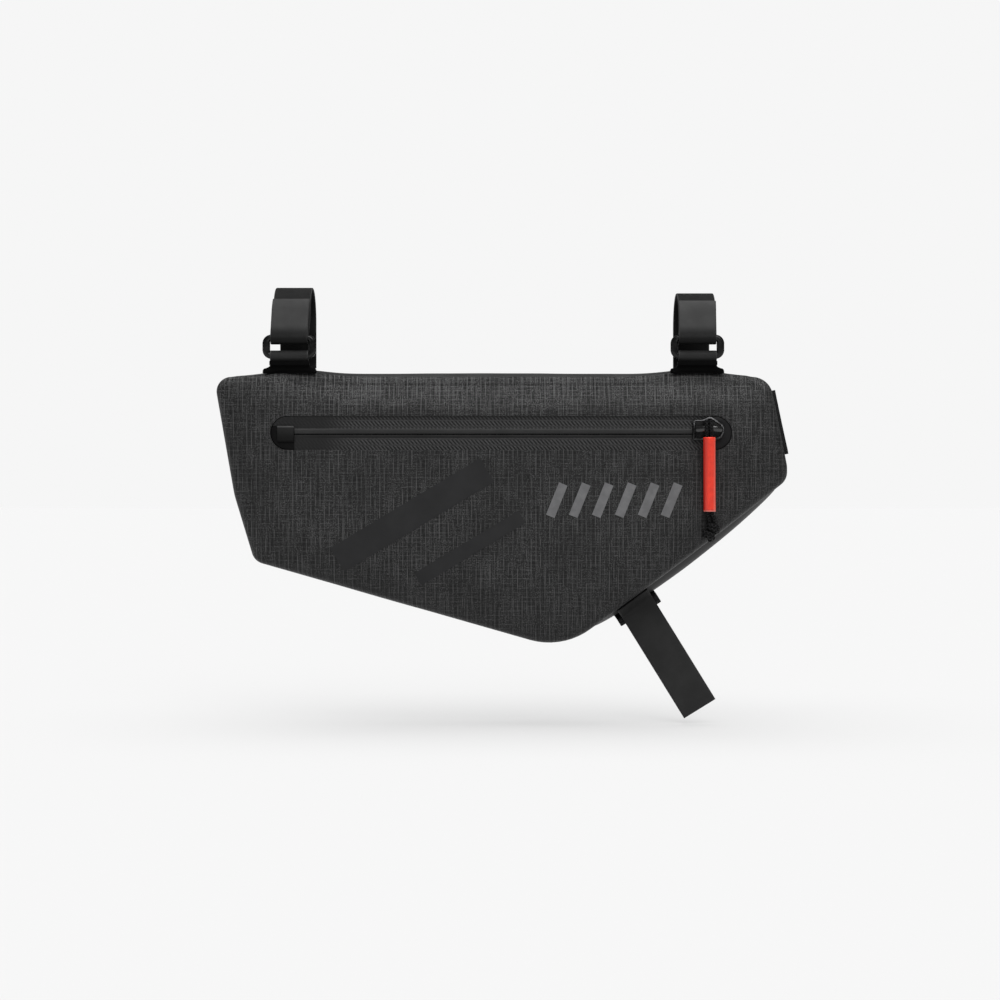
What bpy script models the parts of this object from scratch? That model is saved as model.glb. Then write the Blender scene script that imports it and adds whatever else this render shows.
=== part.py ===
"""Small bicycle frame bag: a welded, zipped body that hangs under a top tube by two strap loops.

Metres. X runs along the bag, Y through it with the zip side at -Y, Z up. The origin lies on the
axis of the top tube, midway between the two loops.
"""

import math
from collections import namedtuple

import bmesh
import bpy
from mathutils import Vector
from mathutils.geometry import interpolate_bezier

# Body: rim to rim sizes, walls and the swelling of its soft faces
BODY_LENGTH = 0.390
BODY_HEIGHT = 0.180
BODY_DEPTH = 0.052
TUBE_TO_BODY = 0.0366
PANEL_WALL = 0.0014
PANEL_CROWN = 0.0050
CROWN_REACH = 0.014
EDGE_ROUND = 0.0065
RIM_FLANGE = 0.0055
GUSSET_WALL = 0.0012
GUSSET_LAP = 0.0050
STRAP_HUMP = 0.0040
HUMP_REACH = 0.027

# Zip, in its round-ended window in the front panel
ZIP_LENGTH = 0.3120
ZIP_HEIGHT = 0.0230
ZIP_DROP = 0.0385
ZIP_OFFSET = 0.0005
ZIP_MARGIN = 0.0040
TAPE_THICKNESS = 0.0011
TAPE_SEAT = 0.0006
LIP_WIDTH = 0.0042
LIP_RISE = 0.0010
GARAGE_THICKNESS = 0.0009
LEFT_GARAGE = 0.0215
RIGHT_GARAGE = 0.0130
TAB_LENGTH = 0.0122
TAB_HEIGHT = 0.0115
TAB_THICKNESS = 0.0014
TAB_FROM_END = 0.0045
TAB_DROP = 0.0008

# Zip slider and its pull
SLIDER_LENGTH = 0.0222
SLIDER_HEIGHT = 0.0165
SLIDER_THICKNESS = 0.0022
SLIDER_RISE = 0.0030
SLIDER_FROM_END = 0.0160
BRIDGE_LENGTH = 0.0130
BRIDGE_WIDTH = 0.0040
BRIDGE_ROOM = 0.0033
BRIDGE_BAR = 0.0018
CORD_DIAMETER = 0.0028
STRAND_SPACING = 0.0031
SLEEVE_DIAMETER = 0.0082
SLEEVE_WALL = 0.0009
SLEEVE_LENGTH = 0.0500
SLEEVE_DROP = 0.0062
SLEEVE_CLEARANCE = 0.0006
PULL_LEAN = 0.0007
STUB_LENGTH = 0.0080
STUB_TURN = 0.0014
KNOT_WIDTH = 0.0118
KNOT_HEIGHT = 0.0112

# Top straps and their buckles
LEFT_LOOP_INSET = 0.0533
RIGHT_LOOP_INSET = 0.0613
STRAP_WIDTH = 0.0254
STRAP_THICKNESS = 0.0015
LOOP_DEPTH = 0.0450
LEFT_CREST = 0.0259
RIGHT_CREST = 0.0221
LEFT_BUCKLE_SHIFT = -0.0013
LEFT_END_SHIFT = -0.0004
RIGHT_BUCKLE_SHIFT = -0.0003
RIGHT_END_SHIFT = 0.0003
LAYER_GAP = 0.0004
ANCHOR_WIDTH = 0.0260
ANCHOR_THICKNESS = 0.0012
BUCKLE_WIDTH = 0.0364
BUCKLE_HEIGHT = 0.0164
BUCKLE_BAR = 0.0042
BUCKLE_SIDE = 0.0042
BUCKLE_ROUND = 0.0017
BUCKLE_DROP = 0.0166
FOOT_WIDTH = 0.0366
FOOT_DEPTH = 0.0090
BACK_FOOT_DEPTH = 0.0054
FOOT_WAIST = 0.45
FOOT_WAIST_FLARE = 0.3
FOOT_RIM_SHARE = 0.75
FOOT_TOP_DROP = 0.0285
SADDLE_THICKNESS = 0.0014
SADDLE_FLAT = 0.0120
STRAP_SEAT = 0.0006

# Lower strap, on the slanted lower edge
LOWER_STRAP_LENGTH = 0.0870
LOWER_STRAP_ALONG_SHARE = 0.735
LOWER_STRAP_DOWN_SHARE = 0.853
LOWER_STRAP_LEAN = math.radians(31.7)
LOWER_BASE_WIDTH = 0.0330
LOWER_BASE_LENGTH = 0.0105
LOWER_STRAP_TURN = 0.0045
LOWER_STRAP_SET = -0.0006
BASE_SEAT = 0.0009

# Flap over the cable port, on the right end
FLAP_LENGTH = 0.0445
FLAP_START = -0.0024
FLAP_WIDTH = 0.0300
FLAP_THICKNESS = 0.0024
FLAP_LIFT = 0.0006

GAP = 0.0003
SEAT_GAP = 0.0004
EDGE_STEP = 0.018
ARC_STEP = math.radians(22)

HALF_DEPTH = BODY_DEPTH / 2
ROUND_START = HALF_DEPTH - EDGE_ROUND
PANEL_EDGE = ROUND_START - RIM_FLANGE
LAP_INSET = PANEL_WALL + GAP
HALF_GUSSET = PANEL_EDGE + GUSSET_LAP
STRAP_SPACING = BODY_LENGTH - LEFT_LOOP_INSET - RIGHT_LOOP_INSET
BODY_OFFSET = (RIGHT_LOOP_INSET - LEFT_LOOP_INSET) / 2
BODY_LEFT = BODY_OFFSET - BODY_LENGTH / 2
BODY_TOP = -TUBE_TO_BODY
ZIP_Z = BODY_TOP - ZIP_DROP
ZIP_X = BODY_OFFSET + ZIP_OFFSET

# Corners of the outline, clockwise from the top left, as shares of the body's length (along) and
# height (down, radius, bow); bow and bulge belong to the edge after the corner, bulge in depths.
Corner = namedtuple("Corner", "along down radius bow bulge")
CORNERS = (
    Corner(along=0.000, down=0.000, radius=0.056, bow=0.000, bulge=0.070),
    Corner(along=0.969, down=0.000, radius=0.080, bow=0.000, bulge=0.020),
    Corner(along=1.000, down=0.337, radius=0.110, bow=0.000, bulge=0.000),
    Corner(along=1.000, down=0.390, radius=0.060, bow=0.006, bulge=0.120),
    Corner(along=0.610, down=1.031, radius=0.265, bow=0.000, bulge=0.024),
    Corner(along=0.071, down=0.697, radius=0.056, bow=0.000, bulge=0.030),
    Corner(along=0.036, down=0.447, radius=0.300, bow=0.000, bulge=0.040),
)

# Rings of a panel: the rim's quarter turn in degrees, then shares of the way out from the middle
RIM_TURNS = (0, 30, 60)
FACE_SHARES = (1.0, 0.94, 0.86, 0.72, 0.42)

# Half of the gusset's section, from the middle to the lap: shares of the way to the panel's edge
# and of the full rise there
GUSSET_STATIONS = (0.0, 0.40, 0.75, 1.0)

# The two loops: side of the origin, height of the crest, turn left to the free end in degrees, and
# how far the buckle and the free end lie off the strap's middle
Loop = namedtuple("Loop", "name side crest end_turn buckle_shift end_shift")
LOOPS = (
    Loop("left", -1, LEFT_CREST, 33, LEFT_BUCKLE_SHIFT, LEFT_END_SHIFT),
    Loop("right", 1, RIGHT_CREST, 41, RIGHT_BUCKLE_SHIFT, RIGHT_END_SHIFT),
)


def clear_scene():
    for item in list(bpy.data.objects):
        bpy.data.objects.remove(item, do_unlink=True)


def material(name, colour, roughness, metallic=0.0):
    made = bpy.data.materials.new(name)
    made.use_nodes = True
    shader = made.node_tree.nodes["Principled BSDF"]
    shader.inputs["Base Color"].default_value = (*colour, 1.0)
    shader.inputs["Roughness"].default_value = roughness
    shader.inputs["Metallic"].default_value = metallic
    made.diffuse_color = (*colour, 1.0)
    return made


def add_object(name, shape, finish, sharp=35):
    """Makes an object of a bmesh, smooth apart from the edges sharper than the given angle."""
    mesh = bpy.data.meshes.new(name)
    shape.to_mesh(mesh)
    shape.free()
    mesh.materials.append(finish)
    mesh.shade_smooth()
    mesh.set_sharp_from_angle(angle=math.radians(sharp))
    made = bpy.data.objects.new(name, mesh)
    bpy.context.scene.collection.objects.link(made)
    return made


def loft(sections, closed_ends=True):
    """Skins a list of equal point loops, and caps the first and the last."""
    shape = bmesh.new()
    loops = [[shape.verts.new(point) for point in section] for section in sections]
    count = len(loops[0])
    for first, second in zip(loops, loops[1:]):
        for i in range(count):
            j = (i + 1) % count
            shape.faces.new((first[i], first[j], second[j], second[i]))
    if closed_ends:
        shape.faces.new(list(reversed(loops[0])))
        shape.faces.new(loops[-1])
        bmesh.ops.recalc_face_normals(shape, faces=shape.faces)
    return shape


def box_shape(size, centre):
    shape = bmesh.new()
    bmesh.ops.create_cube(shape, size=1.0)
    bmesh.ops.scale(shape, vec=size, verts=shape.verts)
    bmesh.ops.translate(shape, vec=centre, verts=shape.verts)
    return shape


def bevel(item, width, segments, angle=40):
    step = item.modifiers.new("Bevel", "BEVEL")
    step.width = width
    step.segments = segments
    step.limit_method = "ANGLE"
    step.angle_limit = math.radians(angle)


def boolean(item, other, operation):
    step = item.modifiers.new("Boolean", "BOOLEAN")
    step.object = other
    step.operation = operation
    other.hide_render = True
    other.display_type = "WIRE"


# Outline of the body


class OutlinePoint:
    """A point of the outline, with its outward direction and how far the gusset bulges there."""

    def __init__(self, place, bulge):
        self.place = place
        self.bulge = bulge
        self.out = None


def corner_place(corner):
    return Vector((BODY_LEFT + corner.along * BODY_LENGTH, BODY_TOP - corner.down * BODY_HEIGHT))


def strap_x(loop):
    return loop.side * STRAP_SPACING / 2


def buckle_x(loop):
    """Middle of a loop's buckle, anchor strap and feet."""
    return strap_x(loop) + loop.buckle_shift


def hump_at(x):
    """How far the loops draw the top edge up."""
    return sum(STRAP_HUMP * math.exp(-(((x - strap_x(loop)) / HUMP_REACH) ** 2)) for loop in LOOPS)


def bulge_share(share):
    return math.sqrt(max(0.0, math.sin(math.pi * share)))


def rounded_corners():
    """The start, centre, radius, turn and end of the arc at each corner."""
    arcs = []
    places = [corner_place(corner) for corner in CORNERS]
    for i, corner in enumerate(CORNERS):
        before = (places[i] - places[i - 1]).normalized()
        after = (places[(i + 1) % len(places)] - places[i]).normalized()
        turn = before.angle(after)
        radius = corner.radius * BODY_HEIGHT
        reach = radius * math.tan(turn / 2)
        start = places[i] - before * reach
        inward = Vector((before.y, -before.x))
        arcs.append((start, start + inward * radius, radius, turn, places[i] + after * reach))
    return arcs


def body_outline():
    """Points round the body, clockwise seen from the zip side."""
    points = []
    arcs = rounded_corners()
    for i, (start, centre, radius, turn, end) in enumerate(arcs):
        spoke = start - centre
        steps = max(1, math.ceil(turn / ARC_STEP))
        for step in range(steps + 1):
            angle = -turn * step / steps
            turned = Vector(
                (
                    spoke.x * math.cos(angle) - spoke.y * math.sin(angle),
                    spoke.x * math.sin(angle) + spoke.y * math.cos(angle),
                )
            )
            points.append(OutlinePoint(centre + turned, 0.0))
        following = arcs[(i + 1) % len(arcs)][0]
        run = following - end
        out = Vector((-run.y, run.x)).normalized()
        steps = max(1, round(run.length / EDGE_STEP))
        for step in range(1, steps):
            share = step / steps
            bow = CORNERS[i].bow * BODY_HEIGHT * math.sin(math.pi * share)
            place = end + run * share + out * bow
            points.append(OutlinePoint(place, CORNERS[i].bulge * BODY_DEPTH * bulge_share(share)))
            if i == 0:
                place.y += hump_at(place.x)
    for before, point, after in zip([points[-1]] + points, points, points[1:] + points[:1]):
        run = (after.place - before.place).normalized()
        point.out = Vector((-run.y, run.x))
    return points


def crown_at(x, z):
    """How far a panel stands proud of its rim, from its distances to the edges."""
    crown = PANEL_CROWN
    places = [corner_place(corner) for corner in CORNERS]
    for i, place in enumerate(places):
        run = (places[(i + 1) % len(places)] - place).normalized()
        inward = Vector((run.y, -run.x))
        distance = max(0.0, (Vector((x, z)) - place).dot(inward))
        crown *= 1 - math.exp(-distance / CROWN_REACH)
    return crown


def face_y(x, z):
    """Depth of the front panel's outer face."""
    return -(HALF_DEPTH + crown_at(x, z))


# Body


def panel_sheet(side):
    """The outer face of a panel, from the edge of its flange to its middle."""
    outline = body_outline()
    middle = sum((point.place for point in outline), Vector((0.0, 0.0))) / len(outline)
    inner = [point.place - point.out * EDGE_ROUND for point in outline]
    rings = [[Vector((p.place.x, side * PANEL_EDGE, p.place.y)) for p in outline]]
    for turn in RIM_TURNS:
        angle = math.radians(turn)
        ring = []
        for point, end in zip(outline, inner):
            place = point.place - point.out * EDGE_ROUND * (1 - math.cos(angle))
            height = HALF_DEPTH + crown_at(end.x, end.y) - ROUND_START
            ring.append(Vector((place.x, side * (ROUND_START + height * math.sin(angle)), place.y)))
        rings.append(ring)
    for share in FACE_SHARES:
        ring = []
        for end in inner:
            place = middle.lerp(end, share)
            depth = side * (HALF_DEPTH + crown_at(place.x, place.y))
            ring.append(Vector((place.x, depth, place.y)))
        rings.append(ring)
    shape = loft(rings, closed_ends=False)
    shape.verts.ensure_lookup_table()
    last = shape.verts[-len(outline):]
    tip = shape.verts.new((middle.x, side * (HALF_DEPTH + crown_at(*middle)), middle.y))
    for i, vert in enumerate(last):
        shape.faces.new((vert, last[(i + 1) % len(last)], tip))
    if side < 0:
        bmesh.ops.reverse_faces(shape, faces=shape.faces)
    return shape


def thicken(item, wall):
    step = item.modifiers.new("Wall", "SOLIDIFY")
    step.thickness = wall
    step.offset = -1.0
    step.use_even_offset = True


def stadium(length, height, steps=8):
    """A round-ended outline about the zip's middle, anticlockwise."""
    points = []
    radius = height / 2
    for side in (1, -1):
        for step in range(steps + 1):
            angle = math.pi * (step / steps - 0.5)
            x = ZIP_X + side * (length / 2 - radius + radius * math.cos(angle))
            points.append((x, ZIP_Z + side * radius * math.sin(angle)))
    return points


def zip_window_cutter(finish):
    outline = stadium(ZIP_LENGTH, ZIP_HEIGHT)
    depths = (-HALF_DEPTH - 2 * PANEL_CROWN, -ROUND_START + EDGE_ROUND / 2)
    shape = loft([[Vector((x, depth, z)) for x, z in outline] for depth in depths])
    return add_object("zip_window_cutter", shape, finish)


def make_panels(finish):
    front = add_object("front_panel", panel_sheet(-1), finish)
    thicken(front, PANEL_WALL)
    boolean(front, zip_window_cutter(finish), "DIFFERENCE")
    back = add_object("back_panel", panel_sheet(1), finish)
    thicken(back, PANEL_WALL)


def gusset_rise(depth, bulge):
    """How far the gusset's outer face stands off the panels' rim at a depth."""
    share = min(1.0, abs(depth) / PANEL_EDGE)
    return -LAP_INSET + (bulge + LAP_INSET) * math.cos(share * math.pi / 2)


def make_gusset(finish):
    depths = [share * PANEL_EDGE for share in GUSSET_STATIONS] + [HALF_GUSSET]
    depths = [-depth for depth in reversed(depths)] + depths[1:]
    rings = []
    for depth in depths:
        ring = []
        for point in body_outline():
            place = point.place + point.out * gusset_rise(depth, point.bulge)
            ring.append(Vector((place.x, depth, place.y)))
        rings.append(ring)
    item = add_object("gusset", loft(rings, closed_ends=False), finish)
    thicken(item, GUSSET_WALL)


# Zip


def tape_section(x, side, rise):
    """A tape's closed section at x: the plain part, then the lip at the middle of the zip."""
    rows = (
        (ZIP_HEIGHT / 2 + ZIP_MARGIN, 0.0),
        (LIP_WIDTH, 0.0),
        (LIP_WIDTH * 0.72, rise),
        (LIP_WIDTH * 0.30, rise),
        (GAP / 2, rise * 0.4),
    )
    outer = PANEL_WALL + TAPE_SEAT
    places = [(ZIP_Z + side * off, lift) for off, lift in rows]
    front = [Vector((x, face_y(x, z) + outer - lift, z)) for z, lift in places]
    inner = outer + TAPE_THICKNESS
    back = [Vector((x, face_y(x, z) + inner, z)) for z, _ in (places[4], places[1], places[0])]
    return front + back


def make_tapes(finish):
    """Both tapes, whose lips sink before they pass behind the ends of the window."""
    window = ZIP_LENGTH / 2
    lips = window - 2 * ZIP_MARGIN
    steps = 16
    runs = [(lips * (2 * i / steps - 1), LIP_RISE) for i in range(steps + 1)]
    past = window + ZIP_MARGIN
    runs = [(-past, 0.0), (-window, 0.0)] + runs + [(window, 0.0), (past, 0.0)]
    for name, side in (("zip_upper_tape", 1), ("zip_lower_tape", -1)):
        sections = [tape_section(ZIP_X + run, side, rise) for run, rise in runs]
        add_object(name, loft(sections), finish, sharp=50)


def garage_outline(side, length):
    """The round end of the window, less a gap, cut square at its inner end."""
    radius = ZIP_HEIGHT / 2 - GAP
    centre = ZIP_X + side * (ZIP_LENGTH / 2 - ZIP_HEIGHT / 2)
    inner = ZIP_X + side * (ZIP_LENGTH / 2 - length)
    points = [(inner, -radius)]
    for step in range(9):
        angle = math.pi * (step / 8 - 0.5)
        points.append((centre + side * radius * math.cos(angle), radius * math.sin(angle)))
    points.append((inner, radius))
    return [(x, ZIP_Z + z) for x, z in points]


def make_garages(finish):
    lift = PANEL_WALL + TAPE_SEAT - LIP_RISE - GAP
    for name, side, length in (
        ("zip_left_garage", -1, LEFT_GARAGE),
        ("zip_right_garage", 1, RIGHT_GARAGE),
    ):
        outline = garage_outline(side, length)
        sections = []
        for depth in (lift - GARAGE_THICKNESS, lift):
            sections.append([Vector((x, face_y(x, z) + depth, z)) for x, z in outline])
        add_object(name, loft(sections), finish)


def make_stop_tab(finish):
    x = ZIP_X - ZIP_LENGTH / 2 + TAB_FROM_END + TAB_LENGTH / 2
    top = PANEL_WALL + TAPE_SEAT - LIP_RISE - GAP - GARAGE_THICKNESS
    y = face_y(x, ZIP_Z) + top - GAP - TAB_THICKNESS / 2
    shape = box_shape((TAB_LENGTH, TAB_THICKNESS, TAB_HEIGHT), (x, y, ZIP_Z - TAB_DROP))
    item = add_object("zip_stop_tab", shape, finish)
    bevel(item, TAB_THICKNESS * 0.3, 2)


def slider_place():
    x = ZIP_X + ZIP_LENGTH / 2 - SLIDER_FROM_END
    z = ZIP_Z + SLIDER_RISE
    top = PANEL_WALL + TAPE_SEAT - LIP_RISE - GAP - GARAGE_THICKNESS
    return Vector((x, face_y(x, z) + top - SEAT_GAP, z))


def make_slider(finish):
    """A plate with bevelled edges and an arched bar over it, which leaves room for the cord."""
    place = slider_place()
    plate_y = place.y - SLIDER_THICKNESS / 2
    plate = box_shape((SLIDER_LENGTH, SLIDER_THICKNESS, SLIDER_HEIGHT), (place.x, plate_y, place.z))
    item = add_object("zip_slider", plate, finish)
    bevel(item, SLIDER_THICKNESS * 0.35, 2)
    sections = []
    half = BRIDGE_LENGTH / 2
    for offset in (0.0, BRIDGE_BAR):
        rise = BRIDGE_ROOM + offset
        run = half - BRIDGE_BAR + offset
        foot = SLIDER_THICKNESS * 0.5
        sections.append(
            [(-run, -foot), (-run * 0.92, rise * 0.55), (-run * 0.55, rise), (run * 0.55, rise),
             (run * 0.92, rise * 0.55), (run, -foot)]
        )
    outline = sections[1] + list(reversed(sections[0]))
    face = place.y - SLIDER_THICKNESS
    ends = (place.z - BRIDGE_WIDTH / 2, place.z + BRIDGE_WIDTH / 2)
    loops = [[Vector((place.x + x, face - rise, z)) for x, rise in outline] for z in ends]
    bridge = add_object("zip_slider_bridge", loft(loops), finish)
    boolean(item, bridge, "UNION")


# Pull


def strand_front():
    """Where the strands lie in front of the bridge, midway between them."""
    place = slider_place()
    bar_y = place.y - SLIDER_THICKNESS - BRIDGE_ROOM - BRIDGE_BAR
    return Vector((place.x - PULL_LEAN, bar_y - CORD_DIAMETER / 2 - 2 * SEAT_GAP, place.z))


def sleeve_top():
    back = Vector((PULL_LEAN / 2, CORD_DIAMETER * 0.6, -SLEEVE_DROP))
    return strand_front() + back


def sleeve_bottom():
    """The sleeve leans back until its foot is close to the panel."""
    top = sleeve_top()
    x = top.x + PULL_LEAN
    z = top.z - SLEEVE_LENGTH
    return Vector((x, face_y(x, z) - SLEEVE_CLEARANCE - SLEEVE_DIAMETER / 2, z))


def strand_route(side):
    """Points chosen along one strand, from behind the bridge to the knot."""
    place = slider_place()
    front = strand_front()
    top = sleeve_top()
    bottom = sleeve_bottom()
    fall = (bottom - top) / SLEEVE_LENGTH
    out = Vector((side * STRAND_SPACING / 2, 0, 0))
    over = BRIDGE_WIDTH / 2 + CORD_DIAMETER / 2 + SEAT_GAP
    hole_y = place.y - SLIDER_THICKNESS - BRIDGE_ROOM / 2
    return [
        Vector((front.x, hole_y, place.z - over * 0.3)) + out,
        Vector((front.x, hole_y - SEAT_GAP / 2, place.z + over * 0.75)) + out,
        Vector((front.x, (hole_y + front.y) / 2, place.z + over * 1.18)) + out,
        Vector((front.x, front.y - SEAT_GAP / 4, place.z + over * 0.7)) + out,
        Vector((front.x, front.y, place.z - over * 0.4)) + out,
        top + out,
        top.lerp(bottom, 0.5) + out,
        bottom + out,
        bottom + fall * STUB_LENGTH / 2 + Vector((STUB_TURN * 0.85, 0, 0)) + out,
        bottom + fall * STUB_LENGTH + Vector((STUB_TURN, 0, 0)) + out,
    ]


def smooth_route(points, step):
    """A smooth curve through the points, read at even steps."""
    ends = [2 * points[0] - points[1]] + points + [2 * points[-1] - points[-2]]
    fine = []
    for i in range(1, len(ends) - 2):
        first = ends[i] + (ends[i + 1] - ends[i - 1]) / 6
        second = ends[i + 1] - (ends[i + 2] - ends[i]) / 6
        fine += interpolate_bezier(ends[i], first, second, ends[i + 1], 24)[:-1]
    fine.append(points[-1])
    kept = [fine[0]]
    for point in fine[1:]:
        if (point - kept[-1]).length >= step:
            kept.append(point)
    return kept


def make_cords(finish):
    for name, side in (("pull_cord_left", -1), ("pull_cord_right", 1)):
        curve = bpy.data.curves.new(name, "CURVE")
        curve.dimensions = "3D"
        curve.bevel_depth = CORD_DIAMETER / 2
        curve.bevel_resolution = 2
        curve.use_fill_caps = True
        spline = curve.splines.new("POLY")
        route = smooth_route(strand_route(side), CORD_DIAMETER * 1.4)
        spline.points.add(len(route) - 1)
        for slot, point in zip(spline.points, route):
            slot.co = (*point, 1.0)
        curve.materials.append(finish)
        bpy.context.scene.collection.objects.link(bpy.data.objects.new(name, curve))


def make_sleeve(finish):
    shape = bmesh.new()
    rim = []
    for radius in (SLEEVE_DIAMETER / 2, SLEEVE_DIAMETER / 2 - SLEEVE_WALL):
        made = bmesh.ops.create_circle(shape, cap_ends=False, radius=radius, segments=16)
        rim += list({edge for vert in made["verts"] for edge in vert.link_edges})
    ring = bmesh.ops.bridge_loops(shape, edges=rim)["faces"]
    grown = bmesh.ops.extrude_face_region(shape, geom=ring)["geom"]
    verts = [part for part in grown if isinstance(part, bmesh.types.BMVert)]
    bmesh.ops.translate(shape, vec=sleeve_bottom() - sleeve_top(), verts=verts)
    bmesh.ops.translate(shape, vec=sleeve_top(), verts=shape.verts)
    bmesh.ops.recalc_face_normals(shape, faces=shape.faces)
    add_object("pull_sleeve", shape, finish)


def make_knot(finish):
    end = strand_route(1)[-1]
    centre = (end.x - STRAND_SPACING / 2 - SEAT_GAP, end.y, end.z - GAP - KNOT_HEIGHT / 2)
    shape = bmesh.new()
    bmesh.ops.create_uvsphere(shape, u_segments=12, v_segments=8, radius=0.5)
    bmesh.ops.scale(shape, vec=(KNOT_WIDTH, KNOT_WIDTH * 0.85, KNOT_HEIGHT), verts=shape.verts)
    bmesh.ops.translate(shape, vec=centre, verts=shape.verts)
    add_object("pull_knot", shape, finish)


# Ribbons: straps made of a path and a direction across it


def ribbon(path, across, width, thickness):
    """A flat band along a path, its sections square to the path and wide along across."""
    sections = []
    for i, point in enumerate(path):
        run = path[min(i + 1, len(path) - 1)] - path[max(i - 1, 0)]
        wide = across[i] if isinstance(across, list) else across
        normal = run.cross(wide).normalized() * thickness / 2
        half = wide.normalized() * width / 2
        sections.append(
            [point - half - normal, point + half - normal, point + half + normal, point - half + normal]
        )
    return loft(sections)


def arc(centre, radius, start, end, steps):
    """Points in the YZ plane, with angles in degrees from +Y towards +Z."""
    points = []
    for step in range(steps + 1):
        angle = math.radians(start + (end - start) * step / steps)
        points.append(
            Vector((centre.x, centre.y + radius * math.cos(angle), centre.z + radius * math.sin(angle)))
        )
    return points


# Top straps


def top_edge_at(loop):
    """Height of the panels' top edge at a loop."""
    return BODY_TOP + hump_at(strap_x(loop))


def top_bulge_at(loop):
    corners = rounded_corners()
    start, end = corners[0][4].x, corners[1][0].x
    return CORNERS[0].bulge * BODY_DEPTH * bulge_share((strap_x(loop) - start) / (end - start))


def saddle_half(loop):
    """The underside of half a saddle, as depth and height: flat, over the gusset, round the rim."""
    edge = top_edge_at(loop)
    crest = edge + top_bulge_at(loop) + SEAT_GAP
    shoulder = edge + SEAT_GAP
    rows = [(0.0, crest), (SADDLE_FLAT * 0.4, crest), (SADDLE_FLAT / 2, crest)]
    start, end = Vector((SADDLE_FLAT / 2, crest)), Vector((ROUND_START, shoulder))
    lead = (end.x - start.x) * 0.45
    for point in interpolate_bezier(start, start + Vector((lead, 0)), end - Vector((lead, 0)), end, 5)[1:]:
        rows.append((point.x, point.y))
    for angle in (25, 50):
        radius = EDGE_ROUND + SEAT_GAP
        turn = math.radians(angle)
        rows.append((ROUND_START + radius * math.sin(turn), edge - EDGE_ROUND + radius * math.cos(turn)))
    return rows


def saddle_top(loop, depth):
    """Height of the saddle's upper face at a depth."""
    rows = saddle_half(loop)
    depth = abs(depth)
    for (y, z), (next_y, next_z) in zip(rows, rows[1:]):
        if depth <= next_y:
            slope = (next_z - z) / (next_y - y)
            rise = SADDLE_THICKNESS * math.hypot(1, slope)
            return z + (depth - y) * slope + rise
    return rows[-1][1]


def make_saddle(loop, finish):
    rows = saddle_half(loop)
    rows = [(-y, z) for y, z in reversed(rows)] + rows[1:]
    path = [Vector((buckle_x(loop), y, z)) for y, z in rows]
    raised = []
    for i, point in enumerate(path):
        run = path[min(i + 1, len(path) - 1)] - path[max(i - 1, 0)]
        up = Vector((0, -run.z, run.y)).normalized()
        raised.append(point + up * SADDLE_THICKNESS / 2)
    item = ribbon(raised, Vector((1, 0, 0)), FOOT_WIDTH, SADDLE_THICKNESS)
    add_object(f"{loop.name}_strap_saddle", item, finish)


def buckle_y():
    """Depth of the buckle's bars, just in front of the loop's front run."""
    return -(LOOP_DEPTH / 2 + STRAP_THICKNESS / 2 + GAP + BUCKLE_BAR / 2)


def bar_z(side):
    return -BUCKLE_DROP + side * (BUCKLE_HEIGHT - BUCKLE_BAR) / 2


def foot_centre(side):
    return buckle_y() if side < 0 else LOOP_DEPTH / 2


def make_foot(loop, side, finish):
    """A flared block: wide where it sits on the saddle, as narrow as the strap at its top."""
    x = buckle_x(loop)
    middle = foot_centre(side)
    depth = FOOT_DEPTH if side < 0 else BACK_FOOT_DEPTH
    reach = ROUND_START + EDGE_ROUND * FOOT_RIM_SHARE
    top = -FOOT_TOP_DROP
    wide = FOOT_WIDTH / 2
    slim = STRAP_WIDTH / 2 + STRAP_SEAT
    mid = slim + (wide - slim) * FOOT_WAIST_FLARE
    sections = []
    for share in (-0.5, -0.2, 0.15, 0.5):
        y = max(min(middle + depth * share, reach), -reach)
        base = saddle_top(loop, y) + SEAT_GAP
        waist = base + (top - base) * FOOT_WAIST
        sections.append(
            [Vector((x + a, y, z)) for a, z in
             ((-wide, base), (wide, base), (mid, waist), (slim, top), (-slim, top), (-mid, waist))]
        )
    name = "front" if side < 0 else "back"
    add_object(f"{loop.name}_{name}_foot", loft(sections), finish)


def make_anchor_strap(loop, finish):
    x = buckle_x(loop)
    centre = Vector((x, buckle_y(), bar_z(-1)))
    radius = BUCKLE_BAR / 2 + GAP + ANCHOR_THICKNESS / 2
    foot = -FOOT_TOP_DROP + SEAT_GAP
    spread = ANCHOR_THICKNESS / 2 + LAYER_GAP
    path = [Vector((x, centre.y + spread, foot))]
    path += arc(centre, radius, -35, 215, 12)
    path.append(Vector((x, centre.y - spread, foot)))
    item = ribbon(path, Vector((1, 0, 0)), ANCHOR_WIDTH, ANCHOR_THICKNESS)
    add_object(f"{loop.name}_anchor_strap", item, finish)


def make_buckle(loop, finish):
    outer = (BUCKLE_WIDTH / 2, BUCKLE_HEIGHT / 2)
    inner = (outer[0] - BUCKLE_SIDE, outer[1] - BUCKLE_BAR)
    shape = bmesh.new()
    corners = ((-1, -1), (1, -1), (1, 1), (-1, 1))
    rings = []
    for wide, high in (outer, inner):
        rings.append([shape.verts.new((a * wide, -BUCKLE_BAR / 2, b * high)) for a, b in corners])
    for i in range(4):
        j = (i + 1) % 4
        shape.faces.new((rings[0][i], rings[0][j], rings[1][j], rings[1][i]))
    grown = bmesh.ops.extrude_face_region(shape, geom=list(shape.faces))["geom"]
    verts = [part for part in grown if isinstance(part, bmesh.types.BMVert)]
    bmesh.ops.translate(shape, vec=(0, BUCKLE_BAR, 0), verts=verts)
    bmesh.ops.recalc_face_normals(shape, faces=shape.faces)
    bmesh.ops.translate(shape, vec=(buckle_x(loop), buckle_y(), -BUCKLE_DROP), verts=shape.verts)
    item = add_object(f"{loop.name}_buckle", shape, finish)
    bevel(item, BUCKLE_ROUND, 2)


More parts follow.
